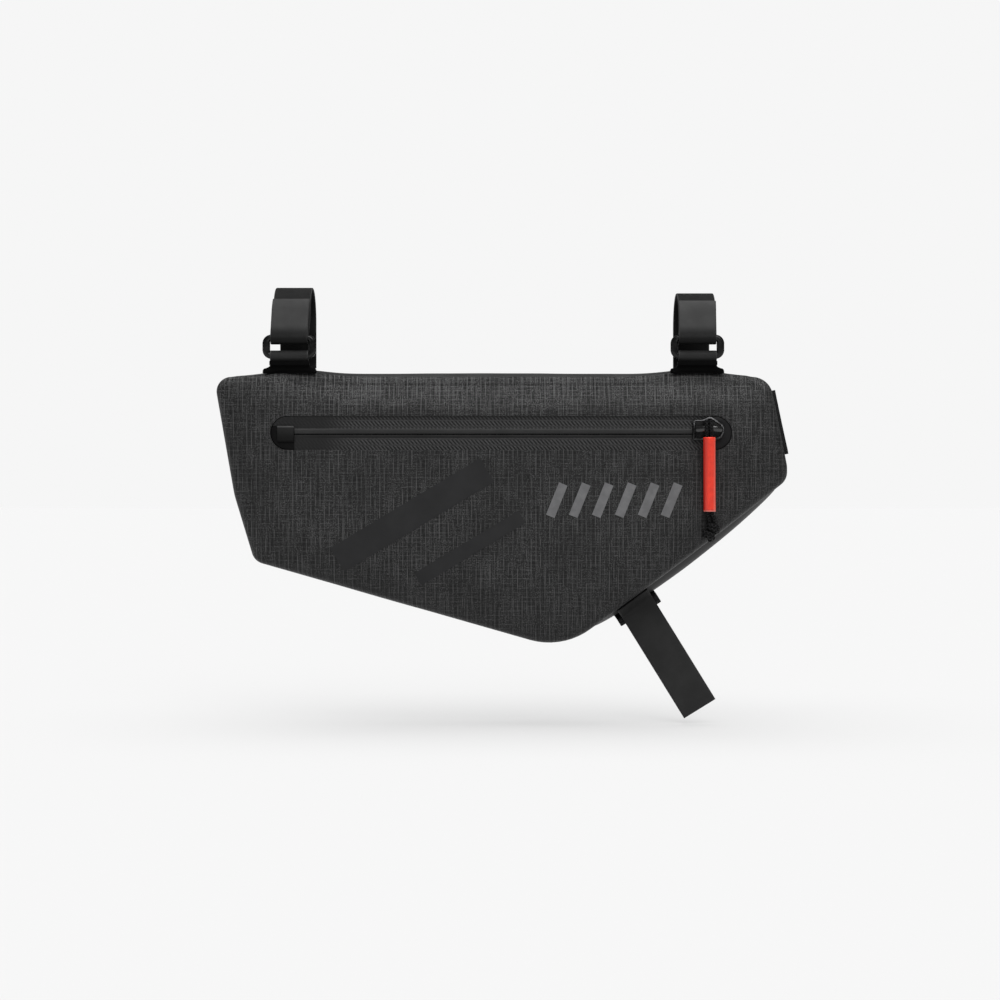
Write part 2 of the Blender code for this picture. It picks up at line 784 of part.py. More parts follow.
def outside_turn(middle, reach, bar, wrap):
    """Angle in degrees at which a straight run touches the turn round the bar and the loop."""
    away = bar - middle
    turn = math.degrees(math.atan2(away.z, away.y)) % 360
    return turn - math.degrees(math.acos((reach - wrap) / away.length))


def make_loop_strap(loop, finish):
    """From the back foot over the tube, under the buckle's upper bar and back up outside."""
    x = strap_x(loop)
    half = LOOP_DEPTH / 2
    middle = Vector((x, 0, loop.crest - half - STRAP_THICKNESS / 2))
    bar = Vector((x, buckle_y(), bar_z(1)))
    wrap = BUCKLE_BAR / 2 + GAP + STRAP_THICKNESS / 2
    reach = half + STRAP_THICKNESS + LAYER_GAP
    leave = outside_turn(middle, reach, bar, wrap)
    path = [Vector((x, half, -FOOT_TOP_DROP + SEAT_GAP))]
    path.append(path[0].lerp(Vector((x, half, middle.z)), 0.5))
    path += arc(middle, half, 0, 180, 16)
    shifts = [0.0] * len(path)
    path.append(path[-1].lerp(Vector((x, -half, bar.z)), 0.5))
    shifts.append(loop.buckle_shift / 2)
    path += arc(bar, wrap, 0, leave - 360, 8)
    shifts += [loop.buckle_shift] * 9
    outside = arc(middle, reach, leave, 180 - loop.end_turn, 4)
    path += [path[-1].lerp(outside[0], share) for share in (0.1, 0.5, 0.9)] + outside
    left = len(path) - len(shifts)
    turn = loop.end_shift - loop.buckle_shift
    shifts += [loop.buckle_shift + turn * (i + 1) / left for i in range(left)]
    path = [point + Vector((shift, 0, 0)) for point, shift in zip(path, shifts)]
    item = ribbon(path, Vector((1, 0, 0)), STRAP_WIDTH, STRAP_THICKNESS)
    add_object(f"{loop.name}_loop_strap", item, finish)


# Lower strap


def lower_strap_frame():
    """Where the strap leaves the gusset, its way down and its way across."""
    lean = LOWER_STRAP_LEAN
    place = corner_place(Corner(LOWER_STRAP_ALONG_SHARE, LOWER_STRAP_DOWN_SHARE, 0, 0, 0))
    down = Vector((math.sin(lean), 0, -math.cos(lean)))
    return Vector((place.x, 0, place.y)), down, Vector((math.cos(lean), 0, math.sin(lean)))


def edge_under_strap():
    """The outline point nearest to the strap, its place, and the edge's outward direction."""
    place = lower_strap_frame()[0]
    nearest = min(
        body_outline(), key=lambda point: (Vector((point.place.x, 0, point.place.y)) - place).length
    )
    out = Vector((nearest.out.x, 0, nearest.out.y))
    return nearest, Vector((nearest.place.x, 0, nearest.place.y)), out


def lower_ribbon(name, side, hang, seat, length, width, finish):
    """Lies on the gusset from one side of it, then turns and hangs from its middle."""
    place, down, across = lower_strap_frame()
    nearest, edge, out = edge_under_strap()
    along = Vector((-out.z, 0, out.x))
    crest = gusset_rise(0, nearest.bulge) + seat + STRAP_THICKNESS / 2
    reach = (crest - (place - edge).dot(out)) / down.dot(out)
    start = edge + along * (place + down * reach - edge).dot(along)
    path, wides = [], []
    for share in (0.86, 0.62, 0.40):
        depth = side * share * PANEL_EDGE
        rise = gusset_rise(depth, nearest.bulge) + seat + STRAP_THICKNESS / 2
        path.append(start + out * rise + Vector((0, depth, 0)))
        wides.append(along)
    turned = place + down * (reach + LOWER_STRAP_TURN) + Vector((0, hang, 0))
    corner = place + down * (reach + LOWER_STRAP_TURN * 0.2) + Vector((0, hang, 0))
    bend = interpolate_bezier(path[-1], path[-1].lerp(corner, 0.8), corner, turned, 11)
    for share in (0.4, 0.7, 1.0):
        path.append(bend[round(share * 10)])
        wides.append(along.lerp(across, share))
    end = place + down * length + Vector((0, hang, 0))
    for share in (0.5, 1.0):
        path.append(turned.lerp(end, share))
        wides.append(across)
    add_object(name, ribbon(path, wides, width, STRAP_THICKNESS), finish)


def make_lower_strap(webbing, rubber):
    layer = (STRAP_THICKNESS + LAYER_GAP) / 2
    set_front = LOWER_STRAP_SET - layer
    set_back = LOWER_STRAP_SET + layer
    lower_ribbon("lower_strap", -1, set_front, STRAP_SEAT, LOWER_STRAP_LENGTH, STRAP_WIDTH, webbing)
    lower_ribbon("lower_strap_base", 1, set_back, BASE_SEAT, LOWER_BASE_LENGTH, LOWER_BASE_WIDTH, rubber)


# Flap


def make_flap(finish):
    """A thin plate over the gusset at the right end, held at its top and free at its foot."""
    start = rounded_corners()[1][4]
    end = rounded_corners()[2][0]
    run = (end - start).normalized()
    out = Vector((-run.y, run.x))
    bulge = CORNERS[1].bulge * BODY_DEPTH
    sections = []
    steps = 6
    for step in range(steps + 1):
        share = step / steps
        place = start + run * (FLAP_START + FLAP_LENGTH * share)
        lift = bulge + SEAT_GAP + FLAP_LIFT * share ** 2
        loop = []
        for rise in (0.0, FLAP_THICKNESS):
            row = []
            for across in (-0.5, -0.25, 0.0, 0.25, 0.5):
                drop = (abs(across) * 2) ** 2 * bulge
                spot = place + out * (lift + rise - drop)
                row.append(Vector((spot.x, across * FLAP_WIDTH, spot.y)))
            loop += row if rise == 0.0 else list(reversed(row))
        sections.append(loop)
    add_object("cable_flap", loft(sections), finish)


def build():
    clear_scene()
    heather = material("heathered_fabric", (0.040, 0.040, 0.042), 0.85)
    smooth = material("smooth_laminate", (0.085, 0.085, 0.088), 0.55)
    tape = material("zip_tape", (0.045, 0.045, 0.047), 0.70)
    recess = material("dark_laminate", (0.018, 0.018, 0.020), 0.60)
    gloss = material("glossy_black", (0.008, 0.008, 0.009), 0.22)
    webbing = material("satin_strap", (0.050, 0.050, 0.052), 0.50)
    rubber = material("black_foot", (0.010, 0.010, 0.011), 0.55)
    cord = material("black_cord", (0.012, 0.012, 0.013), 0.80)
    red = material("red_sleeve", (0.700, 0.060, 0.035), 0.38)

    make_panels(heather)
    make_gusset(smooth)
    make_tapes(tape)
    make_garages(recess)
    make_stop_tab(tape)
    make_slider(gloss)
    make_cords(cord)
    make_sleeve(red)
    make_knot(cord)
    for loop in LOOPS:
        make_saddle(loop, rubber)
        make_foot(loop, -1, rubber)
        make_foot(loop, 1, rubber)
        make_anchor_strap(loop, webbing)
        make_buckle(loop, gloss)
        make_loop_strap(loop, webbing)
    make_lower_strap(webbing, rubber)
    make_flap(recess)


build()
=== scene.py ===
import math

import bmesh
import bpy
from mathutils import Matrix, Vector, noise
from mathutils.geometry import interpolate_bezier


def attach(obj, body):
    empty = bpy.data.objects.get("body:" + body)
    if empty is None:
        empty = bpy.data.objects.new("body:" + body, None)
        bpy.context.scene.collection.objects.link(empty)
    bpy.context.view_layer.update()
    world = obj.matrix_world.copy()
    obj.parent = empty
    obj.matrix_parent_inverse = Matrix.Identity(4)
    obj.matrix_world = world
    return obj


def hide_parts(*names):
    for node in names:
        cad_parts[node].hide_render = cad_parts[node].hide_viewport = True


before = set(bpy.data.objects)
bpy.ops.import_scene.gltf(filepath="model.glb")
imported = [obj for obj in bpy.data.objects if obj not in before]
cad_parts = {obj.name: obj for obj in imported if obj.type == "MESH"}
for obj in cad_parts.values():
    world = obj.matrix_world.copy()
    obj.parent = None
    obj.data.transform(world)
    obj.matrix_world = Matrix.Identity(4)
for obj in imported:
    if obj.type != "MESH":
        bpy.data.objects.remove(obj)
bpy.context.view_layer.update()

# The camera stands level, 1.4 m in front of the bag and a little below the zip, with a long lens,
# so the loops show a sliver of their back runs.
camera = bpy.data.objects.new("camera", bpy.data.cameras.new("camera"))
camera.data.lens = 73.04
camera.data.sensor_width = 36.0
camera.location = (0.0037, -1.4, -0.1204)
camera.rotation_euler = (math.pi / 2, 0.0, 0.0)
bpy.context.scene.collection.objects.link(camera)
bpy.context.scene.camera = camera
bpy.context.scene.view_settings.view_transform = "Standard"


# The floor is a wide pale sheet just under the end of the lower strap, and the room is as pale as
# the floor. Broad soft lights stand above, in front and behind.
def node(tree, kind, values=(), **settings):
    """Adds a shader node. Values are keyed by input, and a socket as a value makes a link."""
    made = tree.nodes.new(kind)
    for name, value in settings.items():
        setattr(made, name, value)
    for key, value in dict(values).items():
        if isinstance(value, bpy.types.NodeSocket):
            tree.links.new(value, made.inputs[key])
        else:
            made.inputs[key].default_value = value
    return made


def rgba(colour):
    """A colour with its alpha. A number alone is a grey."""
    return (*colour, 1.0) if isinstance(colour, tuple) else (colour, colour, colour, 1.0)


def principled(name, colour, roughness, **values):
    """A material and its tree. Its constant values sit on the shader's own sockets."""
    made = bpy.data.materials.new(name)
    made.use_nodes = True
    shader = made.node_tree.nodes["Principled BSDF"]
    shader.inputs["Base Color"].default_value = rgba(colour)
    shader.inputs["Roughness"].default_value = roughness
    for key, value in values.items():
        shader.inputs[key.replace("_", " ")].default_value = value
    return made, made.node_tree


ROOM = 0.9216
FLOOR_LEVEL = -0.2745
floor_shape = bmesh.new()
bmesh.ops.create_circle(floor_shape, cap_ends=True, radius=40.0, segments=64)
bmesh.ops.translate(floor_shape, vec=(0.0, 0.0, FLOOR_LEVEL), verts=floor_shape.verts)
floor = bpy.data.objects.new("floor", bpy.data.meshes.new("floor"))
floor_shape.to_mesh(floor.data)
floor_shape.free()
pale, tree = principled("floor", 0.155, 1.0, Specular_IOR_Level=0.0)
shader = tree.nodes["Principled BSDF"]
shader.inputs["Emission Color"].default_value = (1.0, 1.0, 1.0, 1.0)
bounced = node(tree, "ShaderNodeLightPath").outputs["Is Diffuse Ray"]
glow = node(tree, "ShaderNodeMix", {"Factor": bounced, "A": 0.531, "B": 0.12}).outputs["Result"]
tree.links.new(glow, shader.inputs["Emission Strength"])
floor.data.materials.append(pale)
bpy.context.scene.collection.objects.link(floor)

world = bpy.data.worlds.new("room")
world.use_nodes = True
sky = world.node_tree.nodes["Background"]
seen = node(world.node_tree, "ShaderNodeLightPath").outputs["Is Camera Ray"]
shade = node(world.node_tree, "ShaderNodeMix", {"Factor": seen, "A": 0.12, "B": ROOM})
world.node_tree.links.new(shade.outputs["Result"], sky.inputs["Strength"])
sky.inputs["Color"].default_value = (1.0, 1.0, 1.0, 1.0)
bpy.context.scene.world = world

for name, strength, spread, turn in (
    ("overhead_light", 7.0, 80, (2, -5, 0)),
    ("front_light", 1.2, 34, (52, 0, 12)),
    ("back_light", 0.06, 60, (-62, 0, 20)),
):
    lamp = bpy.data.lights.new(name, "SUN")
    lamp.energy = strength
    lamp.angle = math.radians(spread)
    light = bpy.data.objects.new(name, lamp)
    light.visible_glossy = name != "overhead_light"
    light.rotation_euler = [math.radians(part) for part in turn]
    bpy.context.scene.collection.objects.link(light)


# The pull is one black braided cord, doubled over the slider's bridge: two strands that hang in a
# red sleeve and end in a knot below it. The route's points are in millimetres.
def skin(loops, caps=False, closed=False):
    """Joins equal point loops to a surface, and caps its two ends or joins them to each other."""
    shape = bmesh.new()
    rows = [[shape.verts.new(point) for point in loop] for loop in loops]
    count = len(rows[0])
    if closed:
        rows.append(rows[0])
    for first, second in zip(rows, rows[1:]):
        for i in range(count):
            j = (i + 1) % count
            shape.faces.new((first[i], first[j], second[j], second[i]))
    if caps:
        shape.faces.new(rows[0])
        shape.faces.new(rows[-1])
    if caps or closed:
        bmesh.ops.recalc_face_normals(shape, faces=shape.faces)
    return shape


def piece(name, shape, finish, slot, *stands_for, sharp=40):
    """An object of a mesh that rides on the bag, smooth but for its sharp edges."""
    mesh = bpy.data.meshes.new(name)
    shape.to_mesh(mesh)
    shape.free()
    mesh.materials.append(finish)
    mesh.shade_smooth()
    mesh.set_sharp_from_angle(angle=math.radians(sharp))
    made = bpy.data.objects.new(name, mesh)
    bpy.context.scene.collection.objects.link(made)
    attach(made, "root")
    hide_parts(*stands_for)
    return made


def smooth_route(points, step):
    """A smooth curve through the points, read at even steps."""
    ends = [2 * points[0] - points[1]] + points + [2 * points[-1] - points[-2]]
    fine = []
    for i in range(1, len(ends) - 2):
        first = ends[i] + (ends[i + 1] - ends[i - 1]) / 6
        second = ends[i + 1] - (ends[i + 2] - ends[i]) / 6
        fine += interpolate_bezier(ends[i], first, second, ends[i + 1], 24)[:-1]
    fine.append(points[-1])
    kept = [fine[0]]
    for point in fine[1:]:
        if (point - kept[-1]).length >= step:
            kept.append(point)
    return kept


def tube(path, radius, sides=12, pitch=0.004):
    """A capped tube along a path, unwrapped by turns round it and by pitches along it."""
    loops, runs = [], [0.0]
    side = Vector((1.0, 0.0, 0.0))
    for i, point in enumerate(path):
        run = (path[min(i + 1, len(path) - 1)] - path[max(i - 1, 0)]).normalized()
        side = (side - run * side.dot(run)).normalized()
        up = run.cross(side)
        loops.append([])
        for k in range(sides):
            angle = 2 * math.pi * k / sides
            loops[-1].append(point + (side * math.cos(angle) + up * math.sin(angle)) * radius)
        if i:
            runs.append(runs[-1] + (point - path[i - 1]).length)
    shape = skin(loops, caps=True)
    layer = shape.loops.layers.uv.new("UVMap")
    for face in shape.faces:
        corners = [loop.vert.index for loop in face.loops]
        for loop in face.loops:
            row, turn = divmod(loop.vert.index, sides)
            if turn == 0 and max(corner % sides for corner in corners) == sides - 1:
                turn = sides
            loop[layer].uv = (turn / sides, runs[row] / pitch)
    return shape


def math_node(tree, operation, first, second=0.0, third=0.0):
    made = node(tree, "ShaderNodeMath", {0: first, 1: second, 2: third}, operation=operation)
    return made.outputs[0]


def times(tree, first, second):
    return math_node(tree, "MULTIPLY", first, second)


def plus(tree, first, second):
    return math_node(tree, "ADD", first, second)


def ramp(tree, value, low, high, start=0.0, end=1.0):
    """Maps a value between two marks smoothly to a start and an end."""
    values = {"Value": value, "From Min": low, "From Max": high, "To Min": start, "To Max": end}
    return node(tree, "ShaderNodeMapRange", values, interpolation_type="SMOOTHSTEP").outputs["Result"]


def mixed(tree, factor, first, second):
    """A colour between two colours."""
    made = node(tree, "ShaderNodeMix", {"Factor": factor}, data_type="RGBA")
    for key, colour in ((6, first), (7, second)):
        if isinstance(colour, bpy.types.NodeSocket):
            tree.links.new(colour, made.inputs[key])
        else:
            made.inputs[key].default_value = rgba(colour)
    return made.outputs[2]


def surfaced(made, colour, roughness, height, depth):
    """The material with its colour, its roughness and a relief of some depth in metres."""
    tree = made.node_tree
    relief = node(tree, "ShaderNodeBump", {"Height": height, "Distance": depth}).outputs["Normal"]
    for socket, key in ((colour, "Base Color"), (roughness, "Roughness"), (relief, "Normal")):
        tree.links.new(socket, tree.nodes["Principled BSDF"].inputs[key])
    return made


def place_of(tree):
    """The point on the object, in metres, as a vector and its three parts."""
    vector = node(tree, "ShaderNodeTexCoord").outputs["Object"]
    parts = node(tree, "ShaderNodeSeparateXYZ", {"Vector": vector})
    return vector, parts.outputs["X"], parts.outputs["Y"], parts.outputs["Z"]


def grain(tree, vector, scale, detail=3.0, roughness=0.6):
    values = {"Vector": vector, "Scale": scale, "Detail": detail, "Roughness": roughness}
    return node(tree, "ShaderNodeTexNoise", values).outputs["Fac"]


def braid_material():
    made, tree = principled("braided_cord", 0.006, 0.75, Specular_IOR_Level=0.2)
    turns = node(tree, "ShaderNodeUVMap", uv_map="UVMap").outputs["UV"]
    parts = node(tree, "ShaderNodeSeparateXYZ", {"Vector": turns})
    around = times(tree, parts.outputs["X"], 6 * math.pi)
    along = times(tree, parts.outputs["Y"], 4 * math.pi)
    right = math_node(tree, "SINE", plus(tree, around, along))
    left = math_node(tree, "SINE", math_node(tree, "SUBTRACT", around, along))
    height = math_node(tree, "MAXIMUM", right, left)
    colour = mixed(tree, ramp(tree, height, 0.1, 1.0), 0.0012, (0.0075, 0.0075, 0.008))
    return surfaced(made, colour, ramp(tree, height, 0.0, 1.0, 0.9, 0.45), height, 0.0003)


CORD_DIAMETER = 0.0028
STRAND_ROUTE = (
    (142.25, -34.762, -73.24), (142.25, -34.962, -69.25), (142.25, -37.587, -67.616),
    (142.25, -40.512, -69.44), (142.25, -40.412, -73.62), (142.6, -38.732, -78.3),
    (142.95, -36.333, -103.3), (143.3, -33.935, -128.3), (144.546, -33.552, -132.3),
    (144.812, -33.168, -136.3),
)
STRAND_STEP = 3.1
cord_finish = braid_material()
strands = []
for side, shift in (("left", 0.0), ("right", STRAND_STEP)):
    path = smooth_route([Vector((x + shift, y, z)) / 1000 for x, y, z in STRAND_ROUTE], 0.0006)
    shape = tube(path, CORD_DIAMETER / 2)
    strand = piece(f"strand_{side}", shape, cord_finish, "black_cord", f"pull_cord_{side}")
    strands.append((strand, path))

# Behind the bridge the two strands are one bight of the same cord.
middle = (strands[0][1][0] + strands[1][1][0]) / 2
spread = (strands[1][1][0] - strands[0][1][0]).length / 2
turn_path = []
for step in range(13):
    angle = math.pi * (1 + step / 12)
    turn_path.append(middle + Vector((math.cos(angle), 0.0, math.sin(angle))) * spread)
bight = piece("strand_bight", tube(turn_path, CORD_DIAMETER / 2), cord_finish, "black_cord")


# The sleeve is a soft red tube of about 8 mm, a little flattened over the two strands, so its front
# has a broad flat and its back a shallow valley.
def sleeve_loops(top, bottom, radius, wall):
    loops = []
    fall = bottom - top
    outside = [(share, radius) for share in (0.0, 0.006, 0.02, 0.1, 0.25, 0.4, 0.55, 0.7, 0.85)]
    outside += [(0.96, radius * 1.01), (0.992, radius * 1.02), (1.0, radius)]
    inside = [(share, reach - wall) for share, reach in reversed(outside)]
    for share, reach in outside + inside:
        if share in (0.0, 1.0):
            reach -= wall * 0.3 if reach > radius - wall / 2 else -wall * 0.3
        loop = []
        for k in range(40):
            angle = 2 * math.pi * k / 40
            across, deep = math.cos(angle), math.sin(angle)
            pinch = 0.05 + 0.09 * max(0.0, math.sin(math.pi * share * 1.2 - 0.5))
            valley = 1 - pinch * math.exp(-(((across - 0.15) / 0.24) ** 2)) * (1.0 if deep < 0 else 1.6)
            squash = 0.90 + 0.05 * math.sin(share * 9.0)
            loop.append(top + fall * share + Vector((across, deep * squash * valley, 0.0)) * reach)
        loops.append(loop)
    return loops


def sleeve_material():
    made, tree = principled("red_sleeve", (0.72, 0.055, 0.030), 0.36, Coat_Weight=0.1)
    vector, x, _, z = place_of(tree)
    stretched = node(tree, "ShaderNodeMapping", {"Vector": vector, "Scale": (900.0, 900.0, 60.0)})
    streaks = grain(tree, stretched.outputs["Vector"], 1.0, 2.0)
    blotches = grain(tree, vector, 260.0)
    tone = plus(tree, times(tree, streaks, 0.2), blotches)
    colour = mixed(tree, ramp(tree, tone, 0.3, 0.9), (0.70, 0.028, 0.010), (0.86, 0.046, 0.018))
    # Painted light: painted shade darkens the sleeve's left edge, a painted highlight lightens its right
    # edge, and a brighter painted highlight runs round its bottom rim.
    colour = mixed(tree, ramp(tree, x, 0.1438, 0.1410), colour, (0.50, 0.020, 0.010))
    colour = mixed(tree, ramp(tree, x, 0.1466, 0.1482), colour, (0.86, 0.115, 0.080))
    colour = mixed(tree, ramp(tree, z, -0.1272, -0.1278), colour, (0.90, 0.24, 0.19))
    return surfaced(made, colour, ramp(tree, blotches, 0.3, 0.7, 0.30, 0.44), streaks, 0.00008)


SLEEVE_TOP = Vector((0.14415, -0.038732, -0.0783))
SLEEVE_BOTTOM = Vector((0.14485, -0.033935, -0.1283))
sleeve_shape = skin(sleeve_loops(SLEEVE_TOP, SLEEVE_BOTTOM, 0.0041, 0.0009), closed=True)
sleeve = piece("sleeve", sleeve_shape, sleeve_material(), "red_sleeve", "pull_sleeve", sharp=60)


# The knot is a barrel knot: both strands are wound nearly twice round themselves, side by side,
# pulled tight, and the cut ends are sealed.
KNOT_TOP = Vector((0.1487, -0.0332, -0.1369))
KNOT_BOTTOM = Vector((0.1431, -0.0332, -0.1464))
KNOT_CORD = 0.0016
KNOT_TURNS = 1.9


def knot_path(offset):
    points = []
    for step in range(97):
        share = step / 96
        angle = 2 * math.pi * (KNOT_TURNS * share + 0.55)
        turn = Vector((0.0036 * math.sin(angle), -0.0027 * math.cos(angle), offset))
        points.append(KNOT_TOP.lerp(KNOT_BOTTOM, share) + turn)
    return points


for name, offset, stands in (("knot_upper", 0.0012, ("pull_knot",)), ("knot_lower", -0.0012, ())):
    piece(name, tube(knot_path(offset), KNOT_CORD), cord_finish, "black_cord", *stands)
for name, start, end in (
    ("knot_core", (145.6, -33.3, -135.5), (145.9, -33.0, -146.4)),
    ("knot_tail", (147.4, -34.6, -136.6), (151.0, -35.2, -140.6)),
):
    path = [Vector(start).lerp(Vector(end), i / 4) / 1000 for i in range(5)]
    piece(name, tube(path, 0.00135), cord_finish, "black_cord")


# The two side panels are coated heather ripstop, welded round the edge and drawn up by the loops.
# Between the loops the top of the front panel leans back, from a slanted crease at its left end.
BODY_LENGTH = 0.390
BODY_HEIGHT = 0.180
HALF_DEPTH = 0.026
BODY_LEFT = -0.191
BODY_TOP = -0.0366
PANEL_WALL = 0.0014
PANEL_CROWN = 0.0050
CROWN_REACH = 0.014
EDGE_ROUND = 0.0065
ROUND_START = 0.0195
PANEL_EDGE = 0.014
STRAP_X = 0.1377
STRAP_HUMP = 0.0040
HUMP_REACH = 0.027
ZIP_X = 0.0045
ZIP_Z = -0.0751
ZIP_LENGTH = 0.3120
ZIP_HEIGHT = 0.0230

# Along, down, radius, bow and bulge of each corner and of the edge after it, clockwise
CORNERS = (
    (0.000, 0.000, 0.056, 0.000, 0.070),
    (0.969, 0.000, 0.080, 0.000, 0.020),
    (1.000, 0.337, 0.110, 0.000, 0.000),
    (1.000, 0.390, 0.060, 0.006, 0.120),
    (0.610, 1.031, 0.265, 0.000, 0.024),
    (0.071, 0.697, 0.056, 0.000, 0.030),
    (0.036, 0.447, 0.300, 0.000, 0.040),
)
places = [Vector((BODY_LEFT + c[0] * BODY_LENGTH, BODY_TOP - c[1] * BODY_HEIGHT)) for c in CORNERS]


def hump_at(x):
    return sum(STRAP_HUMP * math.exp(-(((x - side * STRAP_X) / HUMP_REACH) ** 2)) for side in (-1, 1))


def rounded_corners():
    arcs = []
    for i, corner in enumerate(CORNERS):
        before = (places[i] - places[i - 1]).normalized()
        after = (places[(i + 1) % len(places)] - places[i]).normalized()
        turn = before.angle(after)
        radius = corner[2] * BODY_HEIGHT
        reach = radius * math.tan(turn / 2)
        start = places[i] - before * reach
        inward = Vector((before.y, -before.x))
        arcs.append((start, start + inward * radius, turn, places[i] + after * reach))
    return arcs


def body_outline(edge_step=0.0042, arc_step=math.radians(6)):
    """Places, outward directions and gusset bulges round the body, clockwise from the zip side."""
    points = []
    arcs = rounded_corners()
    for i, (start, centre, turn, end) in enumerate(arcs):
        spoke = start - centre
        steps = max(2, math.ceil(turn / arc_step))
        for step in range(steps + 1):
            angle = -turn * step / steps
            turned = (
                spoke.x * math.cos(angle) - spoke.y * math.sin(angle),
                spoke.x * math.sin(angle) + spoke.y * math.cos(angle),
            )
            points.append([centre + Vector(turned), 0.0])
        run = arcs[(i + 1) % len(arcs)][0] - end
        out = Vector((-run.y, run.x)).normalized()
        steps = max(1, round(run.length / edge_step))
        for step in range(1, steps):
            share = step / steps
            place = end + run * share + out * CORNERS[i][3] * BODY_HEIGHT * math.sin(math.pi * share)
            if i == 0:
                place.y += hump_at(place.x)
            bulge = CORNERS[i][4] * 2 * HALF_DEPTH * math.sqrt(math.sin(math.pi * share))
            points.append([place, bulge])
    outline = []
    for before, point, after in zip([points[-1]] + points, points, points[1:] + points[:1]):
        run = (after[0] - before[0]).normalized()
        outline.append((point[0], Vector((-run.y, run.x)), point[1]))
    return outline


def smooth(value, low, high):
    share = min(1.0, max(0.0, (value - low) / (high - low)))
    return share * share * (3 - 2 * share)


def crown_at(x, z):
    crown = PANEL_CROWN
    for i, place in enumerate(places):
        run = (places[(i + 1) % len(places)] - place).normalized()
        distance = max(0.0, (Vector((x, z)) - place).dot(Vector((run.y, -run.x))))
        crown *= 1 - math.exp(-distance / CROWN_REACH)
    return crown


# Creases as start and end (x, z), depth and half width, in millimetres
CREASES = (
    ((146.0, -39.0), (164.0, -43.5), 0.9, 2.4),
    ((166.0, -52.0), (172.0, -72.0), 0.5, 4.0),
    ((-150.0, -38.5), (-112.0, -53.0), 0.5, 3.0),
)


def relief_at(x, z, side):
    """How far the soft face lies behind its plain crowned form."""
    drop = (BODY_TOP + hump_at(x) - z) / 0.024
    start = -0.152 + (BODY_TOP - z) * 2.5
    held = smooth(x, start, start + 0.014) * (1 - smooth(x, 0.168, 0.186))
    depth = 0.0062 * held * max(0.0, 1 - drop) ** 1.6 if side < 0 else 0.0
    depth += 0.00035 * noise.noise(Vector((x * 13, z * 17, side * 3.7)))
    depth += 0.00014 * noise.noise(Vector((x * 42, z * 38, side * 9.1)))
    if side < 0:
        point = Vector((x, z))
        for start, end, deep, width in CREASES:
            start, end = Vector(start) / 1000, Vector(end) / 1000
            run = end - start
            share = min(1.0, max(0.0, (point - start).dot(run) / run.length_squared))
            distance = (point - start - run * share).length / (width / 1000)
            depth += deep / 1000 * math.exp(-distance * distance) * math.sin(math.pi * (0.1 + 0.8 * share))
    return depth


def face_y(x, z, side=-1):
    return side * (HALF_DEPTH + crown_at(x, z) - relief_at(x, z, side))


def panel_shape(side):
    """One panel from its tucked edge to its middle, unwrapped flat in metres."""
    outline = body_outline()
    middle = sum((place for place, out, bulge in outline), Vector((0.0, 0.0))) / len(outline)
    inner = [place - out * EDGE_ROUND for place, out, bulge in outline]
    rings = [[Vector((place.x, side * PANEL_EDGE, place.y)) for place, out, bulge in outline]]
    turned = [EDGE_ROUND * math.pi / 2 + ROUND_START - PANEL_EDGE]
    for degrees in range(0, 90, 10):
        angle = math.radians(degrees)
        turned.append(EDGE_ROUND * (math.pi / 2 - angle))
        ring = []
        for (place, out, bulge), end in zip(outline, inner):
            place = place - out * EDGE_ROUND * (1 - math.cos(angle))
            height = abs(face_y(end.x, end.y, side)) - ROUND_START
            ring.append(Vector((place.x, side * (ROUND_START + height * math.sin(angle)), place.y)))
        rings.append(ring)
    shares = [1 - 0.012 * i for i in range(22)] + [0.735 - 0.035 * i for i in range(20)]
    for share in shares:
        ring = []
        for end in inner:
            place = middle.lerp(end, share)
            ring.append(Vector((place.x, face_y(place.x, place.y, side), place.y)))
        rings.append(ring)
    shape = skin(rings)
    shape.verts.ensure_lookup_table()
    last = shape.verts[-len(outline):]
    tip = shape.verts.new((middle.x, face_y(middle.x, middle.y, side), middle.y))
    for i, vert in enumerate(last):
        shape.faces.new((vert, last[(i + 1) % len(last)], tip))
    flat = [end + out * fold for fold in turned for end, (place, out, bulge) in zip(inner, outline)]
    shape.verts.index_update()
    layer = shape.loops.layers.uv.new("UVMap")
    for face in shape.faces:
        for loop in face.loops:
            spot, index = loop.vert.co, loop.vert.index
            loop[layer].uv = flat[index] if index < len(flat) else (spot.x, spot.z)
    if side < 0:
        bmesh.ops.reverse_faces(shape, faces=shape.faces)
    return shape


